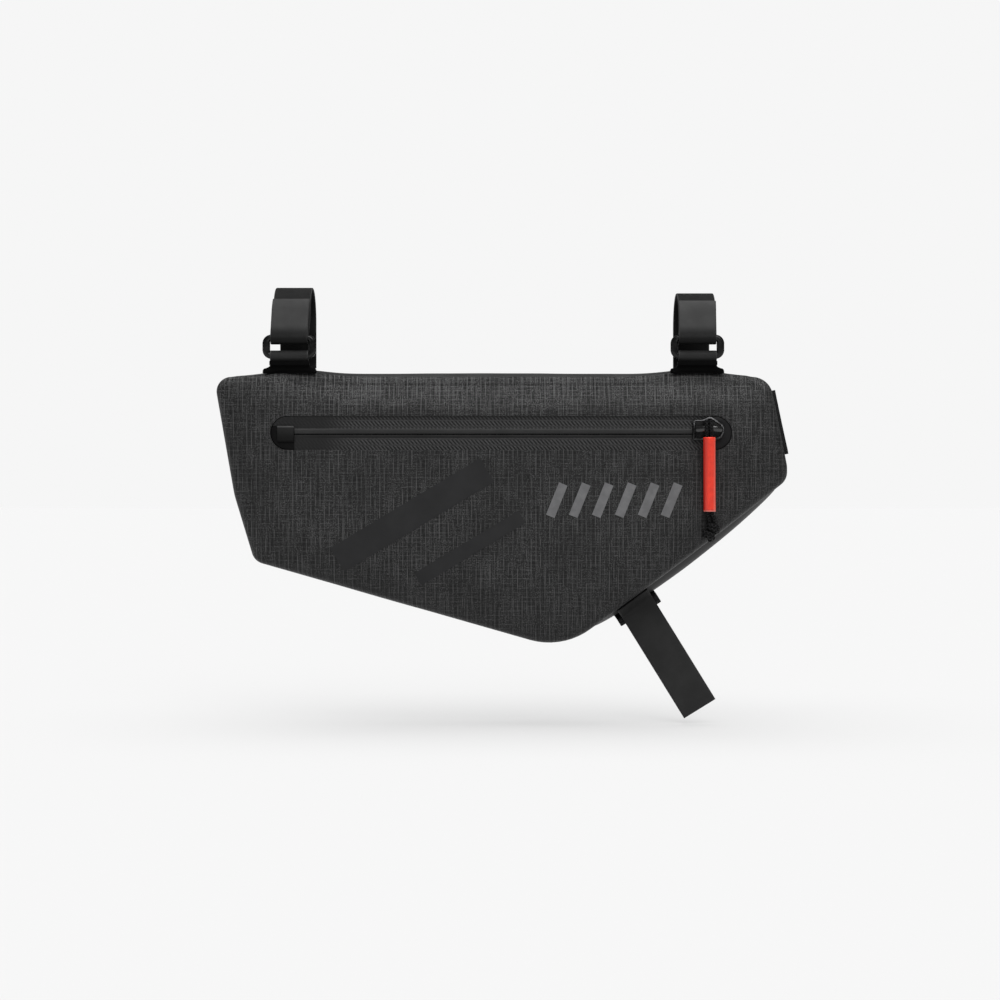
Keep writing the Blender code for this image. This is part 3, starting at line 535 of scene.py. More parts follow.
def thread_group():
    """Yarns of uneven tone that run along one axis, broken ribs at even steps, and dots between."""
    tree = bpy.data.node_groups.new("uneven_yarns", "ShaderNodeTree")
    for name in ("Across", "Along", "Fineness", "Run", "Fleck", "Rib Step"):
        tree.interface.new_socket(name, in_out="INPUT", socket_type="NodeSocketFloat")
    for name in ("Tone", "Height"):
        tree.interface.new_socket(name, in_out="OUTPUT", socket_type="NodeSocketFloat")
    taken = node(tree, "NodeGroupInput").outputs
    fine = times(tree, taken["Across"], taken["Fineness"])
    along = math_node(tree, "DIVIDE", taken["Along"], taken["Run"])
    spot = node(tree, "ShaderNodeCombineXYZ", {"X": fine, "Y": along})
    yarn = grain(tree, spot.outputs["Vector"], 1.0, 1.0, 0.5)
    along = math_node(tree, "DIVIDE", taken["Along"], taken["Fleck"])
    short = node(tree, "ShaderNodeCombineXYZ", {"X": fine, "Y": along})
    fleck = grain(tree, short.outputs["Vector"], 1.0, 1.0, 0.5)
    step = math_node(tree, "DIVIDE", taken["Across"], taken["Rib Step"])
    wave = math_node(tree, "COSINE", times(tree, step, 2 * math.pi))
    along = math_node(tree, "DIVIDE", taken["Along"], times(tree, taken["Run"], 0.36))
    place = node(tree, "ShaderNodeCombineXYZ", {"X": step, "Y": along})
    patch = grain(tree, place.outputs["Vector"], 0.9, 1.0, 0.5)
    rib = times(tree, ramp(tree, wave, 0.66, 0.95), ramp(tree, patch, 0.42, 0.60))
    bare = ramp(tree, patch, 0.40, 0.60, 1.30, 0.15)
    dots = times(tree, ramp(tree, fleck, 0.51, 0.62), bare)
    tone = plus(tree, ramp(tree, yarn, 0.48, 0.68, 0.0, 0.62), dots)
    tone = plus(tree, tone, times(tree, rib, 1.25))
    height = plus(tree, yarn, times(tree, rib, 0.3))
    node(tree, "NodeGroupOutput", {"Tone": tone, "Height": height})
    return tree


def heather_material():
    made, tree = principled("heather_ripstop", 0.03, 0.5, Specular_IOR_Level=0.28)
    vector = place_of(tree)[0]
    flat = node(tree, "ShaderNodeUVMap", uv_map="UVMap").outputs["UV"]
    parts = node(tree, "ShaderNodeSeparateXYZ", {"Vector": flat})
    x, z = parts.outputs["X"], parts.outputs["Y"]
    yarns = thread_group()
    warp, weft = (node(tree, "ShaderNodeGroup", node_tree=yarns) for _ in range(2))
    for yarn, across, along, fineness, run in (
        (warp, x, z, 1500.0, 0.026),
        (weft, z, x, 1300.0, 0.015),
    ):
        tree.links.new(across, yarn.inputs["Across"])
        tree.links.new(along, yarn.inputs["Along"])
        for key, value in (("Fineness", fineness), ("Run", run), ("Fleck", 0.0009), ("Rib Step", 0.0031)):
            yarn.inputs[key].default_value = value
    tone = plus(tree, times(tree, warp.outputs["Tone"], 0.54), times(tree, weft.outputs["Tone"], 0.28))
    clouds = grain(tree, vector, 26.0, 3.0)
    tone = times(tree, tone, ramp(tree, clouds, 0.3, 0.7, 0.68, 1.02))
    # Painted light: the fabric is lighter towards the top of the panel, a painted sheen from the light
    # above.
    tone = times(tree, tone, ramp(tree, z, -0.062, -0.050, 1.0, 1.30))
    colour = mixed(tree, tone, 0.001, (0.061, 0.061, 0.0615))
    height = plus(tree, warp.outputs["Height"], weft.outputs["Height"])
    return surfaced(made, colour, ramp(tree, tone, 0.0, 1.0, 0.56, 0.42), height, 0.00012)


def thicken(item, wall):
    step = item.modifiers.new("wall", "SOLIDIFY")
    step.thickness = wall
    step.offset = -1.0
    step.use_even_offset = True


def window_loop(y):
    """The zip window's outline, a slot with round ends, at some depth."""
    points = []
    radius = ZIP_HEIGHT / 2
    for side in (1, -1):
        for step in range(25):
            angle = math.pi * (step / 24 - 0.5)
            x = ZIP_X + side * (ZIP_LENGTH / 2 - radius + radius * math.cos(angle))
            points.append(Vector((x, y, ZIP_Z + side * radius * math.sin(angle))))
    return points


heather = heather_material()
front = piece("front_shell", panel_shape(-1), heather, "heathered_fabric", "front_panel")
thicken(front, PANEL_WALL)
cutter_shape = skin([window_loop(-0.040), window_loop(-0.018)], caps=True)
cutter_mesh = bpy.data.meshes.new("window_cutter")
cutter_shape.to_mesh(cutter_mesh)
cutter_shape.free()
cutter = bpy.data.objects.new("window_cutter", cutter_mesh)
bpy.context.scene.collection.objects.link(cutter)
window = front.modifiers.new("window", "BOOLEAN")
window.object = cutter
window.operation = "DIFFERENCE"
back = piece("back_shell", panel_shape(1), heather, "heathered_fabric", "back_panel")
thicken(back, PANEL_WALL)

bpy.context.view_layer.objects.active = front
front.select_set(True)
for step in list(front.modifiers):
    bpy.ops.object.modifier_apply(modifier=step.name)
front.select_set(False)
bpy.data.objects.remove(cutter, do_unlink=True)


# The gusset is one band of smooth, slightly lighter laminate, tucked under both panels' rims. It
# stands out between them on top and along the slanted lower edge.
GUSSET_HALF = 0.019
LAP_INSET = 0.0017


def gusset_rise(depth, bulge):
    share = min(1.0, abs(depth) / PANEL_EDGE)
    return -LAP_INSET + (bulge + LAP_INSET) * math.cos(share * math.pi / 2)


def laminate_material(name, dark, light):
    made, tree = principled(name, light, 0.5, Specular_IOR_Level=0.25)
    vector = place_of(tree)[0]
    fine = grain(tree, vector, 2600.0, 2.0)
    broad = grain(tree, vector, 45.0, 3.0)
    tone = math_node(tree, "MULTIPLY_ADD", fine, 0.4, times(tree, broad, 0.6))
    colour = mixed(tree, ramp(tree, tone, 0.35, 0.65), dark, light)
    return surfaced(made, colour, ramp(tree, fine, 0.35, 0.65, 0.38, 0.52), fine, 0.00005)


rings = []
outline = body_outline()
for i in range(-12, 13):
    depth = GUSSET_HALF * i / 12
    ring = []
    for place, out, bulge in outline:
        rise = gusset_rise(depth, bulge)
        if abs(i) < 9:
            rise += 0.0002 * noise.noise(Vector((place.x * 30, depth * 60, place.y * 30)))
        spot = place + out * rise
        ring.append(Vector((spot.x, depth, spot.y)))
    rings.append(ring)
gusset_finish = laminate_material("smooth_laminate", 0.014, 0.021)
gusset = piece("gusset_band", skin(rings), gusset_finish, "smooth_laminate", "gusset")
thicken(gusset, 0.0012)


# The zip is a coated one: two twill tapes welded behind the window, the upper one with a smooth
# rounded lip that meets the lower one and hides the teeth.
ZIP_LINE = ZIP_Z - 0.0010
TAPE_DEPTH = 0.0004
DASH_ROW = 0.0042
DASH_RUN = 0.0026
DASH_RISE = 0.0030
CROSS_RIB = 0.0011


def tape_material():
    made, tree = principled("twill_tape", 0.02, 0.62, Specular_IOR_Level=0.3)
    vector, x, _, z = place_of(tree)
    rise = times(tree, z, 2 * math.pi / DASH_RISE)
    slant = math_node(tree, "MULTIPLY_ADD", x, 2 * math.pi / DASH_RUN, rise)
    row = math_node(tree, "DIVIDE", math_node(tree, "SUBTRACT", z, ZIP_Z), DASH_ROW)
    slant = math_node(tree, "MULTIPLY_ADD", math_node(tree, "FLOOR", row), 1.9, slant)
    wave = math_node(tree, "SINE", slant)
    within = math_node(tree, "COSINE", times(tree, row, 2 * math.pi))
    wave = times(tree, wave, ramp(tree, within, 0.9, 0.2, 0.15, 1.2))
    cross = math_node(tree, "SINE", times(tree, z, 2 * math.pi / CROSS_RIB))
    rough = grain(tree, vector, 900.0, 2.0)
    height = math_node(tree, "MULTIPLY_ADD", cross, 0.35, wave)
    height = math_node(tree, "MULTIPLY_ADD", rough, 1.2, height)
    fade = ramp(tree, x, -0.118, -0.092, 0.12, 1.0)
    tone = times(tree, ramp(tree, height, -0.3, 1.7), fade)
    # Painted shadow: the upper tape darkens towards its top, in the shade under the window's edge.
    tone = times(tree, tone, ramp(tree, z, ZIP_Z + 0.0112, ZIP_Z + 0.0075, 0.25, 1.0))
    colour = mixed(tree, tone, (0.0050, 0.0050, 0.0051), (0.040, 0.040, 0.0405))
    height = times(tree, height, fade)
    return surfaced(made, colour, ramp(tree, height, -1.0, 1.5, 0.75, 0.5), height, 0.00015)


def zip_strip(rows, left, right):
    """A closed strip along the zip whose section rows are height above the zip line and lift."""
    loops = []
    for i in range(97):
        x = left + (right - left) * i / 96
        places = [(ZIP_LINE + height, lift) for height, lift in rows]
        loops.append([Vector((x, face_y(x, z) + TAPE_DEPTH - lift, z)) for z, lift in places])
    return skin(loops, caps=True)


def half_round(low, high, rise):
    """Rows of a rounded lip between two heights."""
    rows = []
    for i in range(11):
        angle = math.pi * i / 10
        rows.append(((low + high) / 2 - (high - low) / 2 * math.cos(angle), rise * math.sin(angle) ** 0.7))
    return rows + [(high, -0.0009), (low, -0.0009)]


tape_finish = tape_material()
lip_finish = laminate_material("coated_lip", 0.015, 0.023)
# The lower lip is a darker copy of the coated lip: painted shade in the gap under the upper lip.
shaded_lip_finish = laminate_material("coated_lip_painted_shade", 0.004, 0.009)
for name, low, high, node_name in (
    ("zip_upper_weave", 0.0004, 0.0124, "zip_upper_tape"),
    ("zip_lower_weave", -0.0104, -0.0004, "zip_lower_tape"),
):
    rows = [(low + (high - low) * i / 6, 0.0) for i in range(7)] + [(high, -0.0011), (low, -0.0011)]
    shape = zip_strip(rows, -0.1352, 0.1477)
    piece(name, shape, tape_finish, "zip_tape", node_name)
for name, low, high, rise, finish in (
    ("zip_upper_lip", 0.0004, 0.0040, 0.0006, lip_finish),
    ("zip_lower_lip", -0.0024, -0.0003, 0.0002, shaded_lip_finish),
):
    piece(name, zip_strip(half_round(low, high, rise), -0.1350, 0.1480), finish, "zip_tape")


# A smooth dark plate closes each round end of the window. On the left one a small folded tab of
# tape marks the end of the zip.
def dark_material(name, dark, light, gleam=0.25, dull=0.52):
    made, tree = principled(name, light, 0.6, Specular_IOR_Level=gleam)
    vector = place_of(tree)[0]
    fine = grain(tree, vector, 3200.0, 2.0)
    broad = grain(tree, vector, 60.0, 2.0)
    dark, light = ((tone, tone, tone * 1.04) for tone in (dark, light))
    colour = mixed(tree, ramp(tree, broad, 0.3, 0.7), dark, light)
    return surfaced(made, colour, ramp(tree, fine, 0.3, 0.7, dull, dull + 0.16), fine, 0.00004)


plate_finish = dark_material("dark_laminate", 0.0022, 0.0034, gleam=0.1)
end_finish = dark_material("grey_laminate", 0.0060, 0.0100, gleam=0.15)
for name, side, length, low, high, finish, stands in (
    ("zip_left_end", -1, 0.0165, -90, 25, plate_finish, ("zip_left_garage",)),
    ("zip_left_root", -1, 0.0165, 25, 90, tape_finish, ()),
    ("zip_right_end", 1, 0.0130, -90, 90, end_finish, ("zip_right_garage",)),
):
    radius = ZIP_HEIGHT / 2 - 0.0003
    centre = ZIP_X + side * (ZIP_LENGTH / 2 - ZIP_HEIGHT / 2)
    inner = ZIP_X + side * (ZIP_LENGTH / 2 - length)
    turns = [math.radians(low + (high - low) * step / 24) for step in range(25)]
    rim = [(inner, radius * math.sin(turns[0]))]
    rim += [(centre + side * radius * math.cos(turn), radius * math.sin(turn)) for turn in turns]
    rim.append((inner, radius * math.sin(turns[-1])))
    middle = Vector((centre, radius * (math.sin(turns[0]) + math.sin(turns[-1])) / 2))
    loops = []
    for inset, depth in ((0.0, 0.0019), (0.0, 0.0006), (0.0005, 0.0002), (0.0025, 0.0001), (0.007, 0.0002)):
        loop = []
        for x, z in rim:
            spot = Vector((x, z)).lerp(middle, inset / radius)
            loop.append(Vector((spot.x, face_y(spot.x, ZIP_Z + spot.y) + depth, ZIP_Z + spot.y)))
        loops.append(loop)
    piece(name, skin(loops, caps=True), finish, "dark_laminate", *stands)


def tab_material():
    made, tree = principled("folded_tab", 0.008, 0.5, Specular_IOR_Level=0.12)
    vector, _, _, z = place_of(tree)
    fine = grain(tree, vector, 2600.0, 2.0)
    # Painted light on the tab: painted shade darkens it towards its foot, a painted highlight lights its
    # top edge, and a thin line of painted shadow lies along its bottom.
    colour = mixed(tree, ramp(tree, z, -0.0800, -0.0722), 0.0045, 0.012)
    colour = mixed(tree, ramp(tree, z, -0.0718, -0.0712), colour, 0.042)
    colour = mixed(tree, ramp(tree, z, -0.0804, -0.0801), 0.0008, colour)
    return surfaced(made, colour, ramp(tree, fine, 0.35, 0.65, 0.44, 0.58), fine, 0.00005)


def soft_block(size, place, rounding):
    """A block with rounded edges, by its size and its middle."""
    block = bmesh.new()
    bmesh.ops.create_cube(block, size=1.0)
    bmesh.ops.scale(block, vec=size, verts=block.verts)
    bmesh.ops.bevel(
        block, geom=block.edges[:], offset=rounding, segments=3, profile=0.5, affect="EDGES", material=-1
    )
    bmesh.ops.translate(block, vec=place, verts=block.verts)
    return block


TAB_X = -0.1410
TAB_SIZE = (0.0114, 0.0014, 0.0108)
tab = soft_block(TAB_SIZE, (TAB_X, face_y(TAB_X, ZIP_Z) - 0.0006, -0.0758), 0.0005)
piece("zip_end_tab", tab, tab_material(), "zip_tape", "zip_stop_tab")


# The slider is glossy black: a plate with a crested top edge and a raised rim, and a bar over it
# that the cord is hitched to.
def gloss_material(name, dark, light, gleam, coat, crest=None):
    """Black plastic. With a crest, a painted highlight lightens it in patches where it stands nearer the
    front than that.
    """
    made, tree = principled(name, light, 0.2, Coat_Weight=coat, Specular_IOR_Level=gleam)
    vector, _, y, _ = place_of(tree)
    smudge = grain(tree, vector, 160.0, 3.0)
    drawn = node(tree, "ShaderNodeMapping", {"Vector": vector, "Scale": (400.0, 400.0, 2600.0)})
    scratch = grain(tree, drawn.outputs["Vector"], 1.0)
    colour = mixed(tree, ramp(tree, smudge, 0.35, 0.7), dark, light)
    if crest is not None:
        # Painted highlight: a light grey in patches on the crest.
        painted_gleam = ramp(tree, smudge, 0.40, 0.56)
        high = times(tree, ramp(tree, y, crest, crest - 0.0002), painted_gleam)
        colour = mixed(tree, high, colour, (0.12, 0.12, 0.124))
    return surfaced(made, colour, ramp(tree, smudge, 0.3, 0.7, 0.16, 0.34), scratch, 0.00002)


SLIDER = Vector((0.1445, -0.0311, -0.0721))
SLIDER_OUTLINE = (
    (-11.0, -7.9), (-11.0, 5.0), (-10.2, 5.9), (-5.0, 6.2), (-2.4, 7.2), (-0.4, 8.2), (1.6, 8.2),
    (3.6, 7.2), (7.4, 4.4), (9.6, 2.6), (10.8, 0.4), (10.6, -3.0), (8.8, -6.4), (6.0, -7.8),
    (2.0, -8.2), (-5.0, -8.2), (-10.0, -8.2),
)
SLIDER_RIM = ((0.0, 0.0), (0.0, 1.3), (0.35, 1.9), (0.9, 2.2), (1.7, 2.2), (2.1, 1.5), (4.2, 1.4))


def slider_loops():
    loops = []
    for shrink, rise in SLIDER_RIM:
        loop = []
        for x, z in SLIDER_OUTLINE:
            spot = Vector((x, z))
            spot = spot - spot.normalized() * shrink
            loop.append(SLIDER + Vector((spot.x, -rise, spot.y)) / 1000)
        loops.append(loop)
    return loops


crested_gloss = gloss_material("crested_gloss", 0.002, 0.004, 0.35, 0.0, crest=SLIDER.y - 0.0020)
slider_shape = skin(slider_loops(), caps=True)
slider = piece("slider_body", slider_shape, crested_gloss, "glossy_black", "zip_slider", sharp=50)
step = slider.modifiers.new("rounding", "BEVEL")
step.width = 0.00018
step.segments = 2
step.limit_method = "ANGLE"

BAR_ROUTE = (
    (-9.0, -1.0, -0.8), (-9.0, -3.2, -0.8), (-7.6, -5.0, -0.6), (-4.5, -5.9, -0.3), (0.0, -6.2, 0.0),
    (4.5, -5.9, -0.3), (7.4, -5.0, -0.6), (8.6, -3.2, -0.8), (8.6, -1.0, -0.8),
)
bar_loops = []
fine_bar = smooth_route([SLIDER + Vector(point) / 1000 for point in BAR_ROUTE], 0.0005)
for i, point in enumerate(fine_bar):
    run = (fine_bar[min(i + 1, len(fine_bar) - 1)] - fine_bar[max(i - 1, 0)]).normalized()
    up = Vector((0.0, 0.0, 1.0))
    out = run.cross(up).normalized()
    loop = []
    for k in range(16):
        angle = 2 * math.pi * k / 16
        loop.append(point + up * 0.0021 * math.cos(angle) + out * 0.0009 * math.sin(angle))
    bar_loops.append(loop)
gloss = gloss_material("glossy_black", 0.004, 0.009, 0.5, 0.5)
piece("slider_bar", skin(bar_loops, caps=True), gloss, "glossy_black")


# Each top strap is 25 mm coated webbing in one loop: up behind the tube, over it, down in front,
# round the buckle's upper bar and back up outside, where its free end lies on the crest.
STRAP_WIDTH = 0.0254
STRAP_THICKNESS = 0.0015
LOOP_HALF = 0.0225
LAYER = STRAP_THICKNESS + 0.0004
FOOT_TOP = -0.0285
BUCKLE_Y = -0.02565
BUCKLE_BAR = 0.0042
BUCKLE_TOP_Z = -0.0105
BUCKLE_LOW_Z = -0.0227
WRAP_SLACK = 0.0005
STRAP_FOOT = FOOT_TOP + 0.0004
RIB_PITCH = 0.0009
WARP_PITCH = 0.0012
# Name, middle, crest, turn of the free end in degrees, and sideways shifts of buckle and free end
LOOPS = (
    ("left", -STRAP_X, 0.0259, 33, -0.0013, -0.0004),
    ("right", STRAP_X, 0.0221, 41, -0.0003, 0.0003),
)


def strap_shape(path, across, width, thickness, patch=None):
    """A band along a path with rounded edges. It is unwrapped in metres. The attribute face is one on
    its first side, and one less the patch on the other."""
    loops, runs = [], [0.0]
    half, deep = width / 2, thickness / 2
    section = []
    for side in (1, -1):
        for angle in range(90, -91, -30):
            turn = math.radians(angle)
            section.append((side * (half - deep + deep * math.cos(turn)), side * deep * math.sin(turn)))
        section += [(side * half * part, -side * deep) for part in (0.8, 0.4, 0.0, -0.4, -0.8)]
    for i, point in enumerate(path):
        run = path[min(i + 1, len(path) - 1)] - path[max(i - 1, 0)]
        wide = (across[i] if isinstance(across, list) else across).normalized()
        normal = run.cross(wide).normalized()
        loops.append([])
        for a, b in section:
            loops[-1].append(point + wide * a + normal * b)
        if i:
            runs.append(runs[-1] + (point - path[i - 1]).length)
    shape = skin(loops, caps=True)
    layer = shape.loops.layers.uv.new("UVMap")
    sides = shape.verts.layers.float.new("face")
    count = len(section)
    shape.verts.index_update()
    for vert in shape.verts:
        row, slot = divmod(vert.index, count)
        reach = patch[row] if patch else 1.0
        vert[sides] = 1.0 - reach * (0.5 - 0.5 * section[slot][1] / deep)
    for face in shape.faces:
        for loop in face.loops:
            row, slot = divmod(loop.vert.index, count)
            loop[layer].uv = (section[slot][0], runs[row])
    return shape


def webbing_material(name, outer, inner, painted_gleam):
    """Webbing whose two faces take two tones that are painted light and shade: inner where the attribute
    face is none, outer where it is one, and painted deep shade, near black, where it is two."""
    made, tree = principled(name, outer, 0.6, Specular_IOR_Level=0.15)
    flat = node(tree, "ShaderNodeUVMap", uv_map="UVMap").outputs["UV"]
    parts = node(tree, "ShaderNodeSeparateXYZ", {"Vector": flat})
    across, along = parts.outputs["X"], parts.outputs["Y"]
    vector = place_of(tree)[0]
    ribs = math_node(tree, "SINE", times(tree, along, 2 * math.pi / RIB_PITCH))
    warps = math_node(tree, "SINE", times(tree, across, 2 * math.pi / WARP_PITCH))
    weave = times(tree, ribs, warps)
    fine = grain(tree, vector, 1800.0, 2.0)
    broad = grain(tree, vector, 55.0, 3.0)
    edge = ramp(tree, math_node(tree, "ABSOLUTE", across), 0.0118, 0.0126)
    face = node(tree, "ShaderNodeAttribute", attribute_name="face").outputs["Fac"]
    shade = ramp(tree, broad, 0.3, 0.7)
    colours = [mixed(tree, shade, tone * 0.87, tone * 1.13) for tone in (inner, outer)]
    colour = mixed(tree, ramp(tree, face, 0.0, 1.0), *colours)
    # Painted highlight: a paler tone along both edges of the strap.
    colour = mixed(tree, edge, colour, painted_gleam)
    # Painted deep shade: near black where the attribute face runs up to two.
    colour = mixed(tree, ramp(tree, face, 1.0, 2.0), colour, 0.0008)
    height = math_node(tree, "MULTIPLY_ADD", weave, 0.5, times(tree, fine, 0.6))
    return surfaced(made, colour, ramp(tree, fine, 0.3, 0.7, 0.52, 0.68), height, 0.00003)


def arc(centre, radius, start, end, steps):
    points = []
    for step in range(steps + 1):
        angle = math.radians(start + (end - start) * step / steps)
        points.append(centre + Vector((0.0, math.cos(angle), math.sin(angle))) * radius)
    return points


def loop_path(x, crest, end_turn, buckle_shift, end_shift):
    """The strap's middle line, and how far its inner side is painted pale, as painted light (1), or painted
    deep shade (-1).
    """
    middle = Vector((x, 0, crest - LOOP_HALF - STRAP_THICKNESS / 2))
    bar = Vector((x, BUCKLE_Y, BUCKLE_TOP_Z - WRAP_SLACK))
    wrap = BUCKLE_BAR / 2 + WRAP_SLACK + STRAP_THICKNESS / 2
    start = Vector((x, LOOP_HALF, STRAP_FOOT))
    path = [start.lerp(Vector((x, LOOP_HALF, middle.z)), i / 6) for i in range(6)]
    path += arc(middle, LOOP_HALF, 0, 180, 48)
    shifts = [0.0] * len(path)
    last = path[-1]
    for i in range(1, 4):
        path.append(last.lerp(Vector((x, -LOOP_HALF, bar.z)), i / 4))
        shifts.append(buckle_shift * i / 4)
    away = bar - middle
    leave = math.degrees(math.atan2(away.z, away.y)) % 360
    leave -= math.degrees(math.acos((LOOP_HALF + LAYER - wrap) / away.length))
    bottom = len(path)
    path += arc(bar, wrap, 0, leave - 360, 26)
    shifts += [buckle_shift] * 27
    outside = arc(middle, LOOP_HALF + LAYER, leave, 180 - end_turn, 14)
    path += [path[-1].lerp(outside[0], i / 16) for i in range(1, 16)] + outside
    left = len(path) - len(shifts)
    shifts += [buckle_shift + (end_shift - buckle_shift) * (i + 1) / left for i in range(left)]
    # Painted light and shade along the strap: the back run is painted deep shade in its middle, and the
    # wrap round the buckle's bar is painted deep shade at its bottom and pale at its top and along the free
    # end.
    patch = []
    for point in path[:6]:
        patch.append(smooth(-point.z, 0.0235, 0.0265) - 0.8 * smooth(-point.z, -0.006, 0.010))
    patch += [0.0] * (bottom - 6)
    patch += [min(1.0, (point.z + 0.0085) / 0.0070) for point in path[bottom:]]
    return [point + Vector((shift, 0, 0)) for point, shift in zip(path, shifts)], patch


webbing = webbing_material("satin_webbing", 0.008, 0.034, 0.032)
WIDE = Vector((1.0, 0.0, 0.0))
for name, x, crest, end_turn, buckle_shift, end_shift in LOOPS:
    path, patch = loop_path(x, crest, end_turn, buckle_shift, end_shift)
    shape = strap_shape(path, WIDE, STRAP_WIDTH, STRAP_THICKNESS, patch)
    piece(f"{name}_strap", shape, webbing, "satin_strap", f"{name}_loop_strap")


# The buckle is a plain moulded ring of glossy plastic with full round bars, held by a short strap
# that is folded round its lower bar.
RING_WIDTH = 0.0364
RING_HEIGHT = 0.0164
RING_SIDE = 0.0052
RING_DEPTH = 0.0044
RING_CORNER = 0.0034
RING_SQUARENESS = 0.72
ANCHOR_WIDTH = 0.0260
ANCHOR_THICKNESS = 0.0012


def ring_shape(centre):
    """A rounded rectangular ring: its section turns round a rounded rectangle."""
    loops = []
    half_width = (RING_WIDTH - RING_SIDE) / 2 - RING_CORNER
    half_height = (RING_HEIGHT - BUCKLE_BAR) / 2 - RING_CORNER
    spine = []
    for sx, sz, start in ((1, 1, 0), (-1, 1, 90), (-1, -1, 180), (1, -1, 270)):
        for step in range(7):
            turn = math.radians(start + step * 15)
            x = sx * half_width + RING_CORNER * math.cos(turn)
            spine.append((x, sz * half_height + RING_CORNER * math.sin(turn), turn))
    for x, z, turn in spine:
        thick = RING_SIDE + (BUCKLE_BAR - RING_SIDE) * abs(math.sin(turn))
        loop = []
        for k in range(20):
            angle = 2 * math.pi * k / 20
            a, b = math.cos(angle), math.sin(angle)
            a = math.copysign(abs(a) ** RING_SQUARENESS, a) * thick / 2
            b = math.copysign(abs(b) ** RING_SQUARENESS, b) * RING_DEPTH / 2
            out = Vector((math.cos(turn), 0.0, math.sin(turn)))
            loop.append(centre + Vector((x, b, z)) + out * a)
        loops.append(loop)
    return skin(loops, closed=True)


ring_finish = gloss_material("moulded_black", 0.003, 0.005, 0.3, 0.0)
plain_webbing = webbing_material("plain_webbing", 0.022, 0.012, 0.034)
for name, x, crest, end_turn, buckle_shift, end_shift in LOOPS:
    centre = Vector((x + buckle_shift, BUCKLE_Y, (BUCKLE_TOP_Z + BUCKLE_LOW_Z) / 2))
    ring = ring_shape(centre)
    piece(f"{name}_ring", ring, ring_finish, "glossy_black", f"{name}_buckle", sharp=60)
    bar = Vector((x + buckle_shift, BUCKLE_Y, BUCKLE_LOW_Z))
    front_run, back_run = (
        [Vector((bar.x, bar.y + side * 0.0007, z)) for z in (FOOT_TOP, STRAP_FOOT + 0.0016)]
        for side in (-1, 1)
    )
    path = front_run + arc(bar, BUCKLE_BAR / 2 + 0.0009, 238, -58, 34) + back_run[::-1]
    # Painted deep shade: the buckle strap turns near black towards its legs, below the wrap.
    patch = [-1.0 + 2.0 * smooth(point.z, -0.0268, -0.0205) for point in path]
    shape = strap_shape(path, WIDE, ANCHOR_WIDTH, ANCHOR_THICKNESS, patch)
    piece(f"{name}_buckle_strap", shape, plain_webbing, "satin_strap", f"{name}_anchor_strap")


# Each loop stands on a moulded rubber base: a thin saddle across the top of the bag and a flared
# foot at each end, as narrow as the strap at its top.
FOOT_WIDTH = 0.0366
SADDLE_THICKNESS = 0.0014
NECK_DEPTH = 0.0040
NECK_TOP = -0.0262
NECK_LOW = -0.0292
SADDLE_ROWS = {
    "left": ((0.0, -30.02), (6.0, -30.02), (9.82, -30.36), (12.75, -31.11), (15.68, -31.86), (19.5, -32.2),
             (22.42, -32.85), (24.79, -34.66)),
    "right": ((0.0, -30.12), (6.0, -30.12), (9.82, -30.45), (12.75, -31.16), (15.68, -31.88), (19.5, -32.2),
              (22.42, -32.85), (24.79, -34.66)),
}


def saddle_height(name, depth):
    rows = SADDLE_ROWS[name]
    depth = abs(depth) * 1000
    for (y, z), (next_y, next_z) in zip(rows, rows[1:]):
        if depth <= next_y:
            return (z + (depth - y) * (next_z - z) / (next_y - y)) / 1000 + SADDLE_THICKNESS
    return rows[-1][1] / 1000


rubber = dark_material("moulded_rubber", 0.0008, 0.0016, gleam=0.06, dull=0.58)
for name, x, crest, end_turn, buckle_shift, end_shift in LOOPS:
    x += buckle_shift
    half_rows = [Vector((0.0, y, z)) / 1000 for y, z in SADDLE_ROWS[name]]
    rows = [Vector((0.0, -row.y, row.z)) for row in reversed(half_rows)] + half_rows[1:]
    path = smooth_route([row + Vector((x, 0.0, SADDLE_THICKNESS / 2)) for row in rows], 0.0012)
    shape = strap_shape(path, WIDE, FOOT_WIDTH, SADDLE_THICKNESS)
    for vert in shape.verts:
        vert.co.x = x + (vert.co.x - x) * (0.74 + 0.26 * smooth(abs(vert.co.y), 0.014, 0.024))
    piece(f"{name}_saddle", shape, rubber, "black_foot", f"{name}_strap_saddle")
    for part, middle, depth in (("front_foot", BUCKLE_Y, 0.0090), ("back_foot", LOOP_HALF, 0.0054)):
        loops = []
        for i in range(9):
            y = middle + depth * (i / 8 - 0.5)
            y = max(min(y, 0.0244), -0.0244)
            base = saddle_height(name, y) + 0.0002
            slim, wide = STRAP_WIDTH / 2 + 0.0006, FOOT_WIDTH / 2
            end = 1 - 0.35 * abs(i / 4 - 1) ** 3
            loop = []
            for k in range(9):
                share = k / 8
                flare = slim + (wide - slim) * (1 - share) ** 2.4 * end
                loop.append(Vector((x + flare, y, base + (FOOT_TOP - base) * share)))
            loops.append(loop + [Vector((2 * x - spot.x, y, spot.z)) for spot in reversed(loop)])
        piece(f"{name}_{part}_block", skin(loops, caps=True), rubber, "black_foot", f"{name}_{part}")
    # A slim neck of black rubber covers the buckle strap's legs above each front foot. It is partly the
    # rubber and partly painted shade: the legs lie in shade below the wrap.
    neck_size = (STRAP_WIDTH + 0.0014, NECK_DEPTH, NECK_TOP - NECK_LOW)
    neck = soft_block(neck_size, (x, BUCKLE_Y, (NECK_TOP + NECK_LOW) / 2), 0.0004)
    piece(f"{name}_neck_rubber_and_painted_shade", neck, rubber, "black_foot")


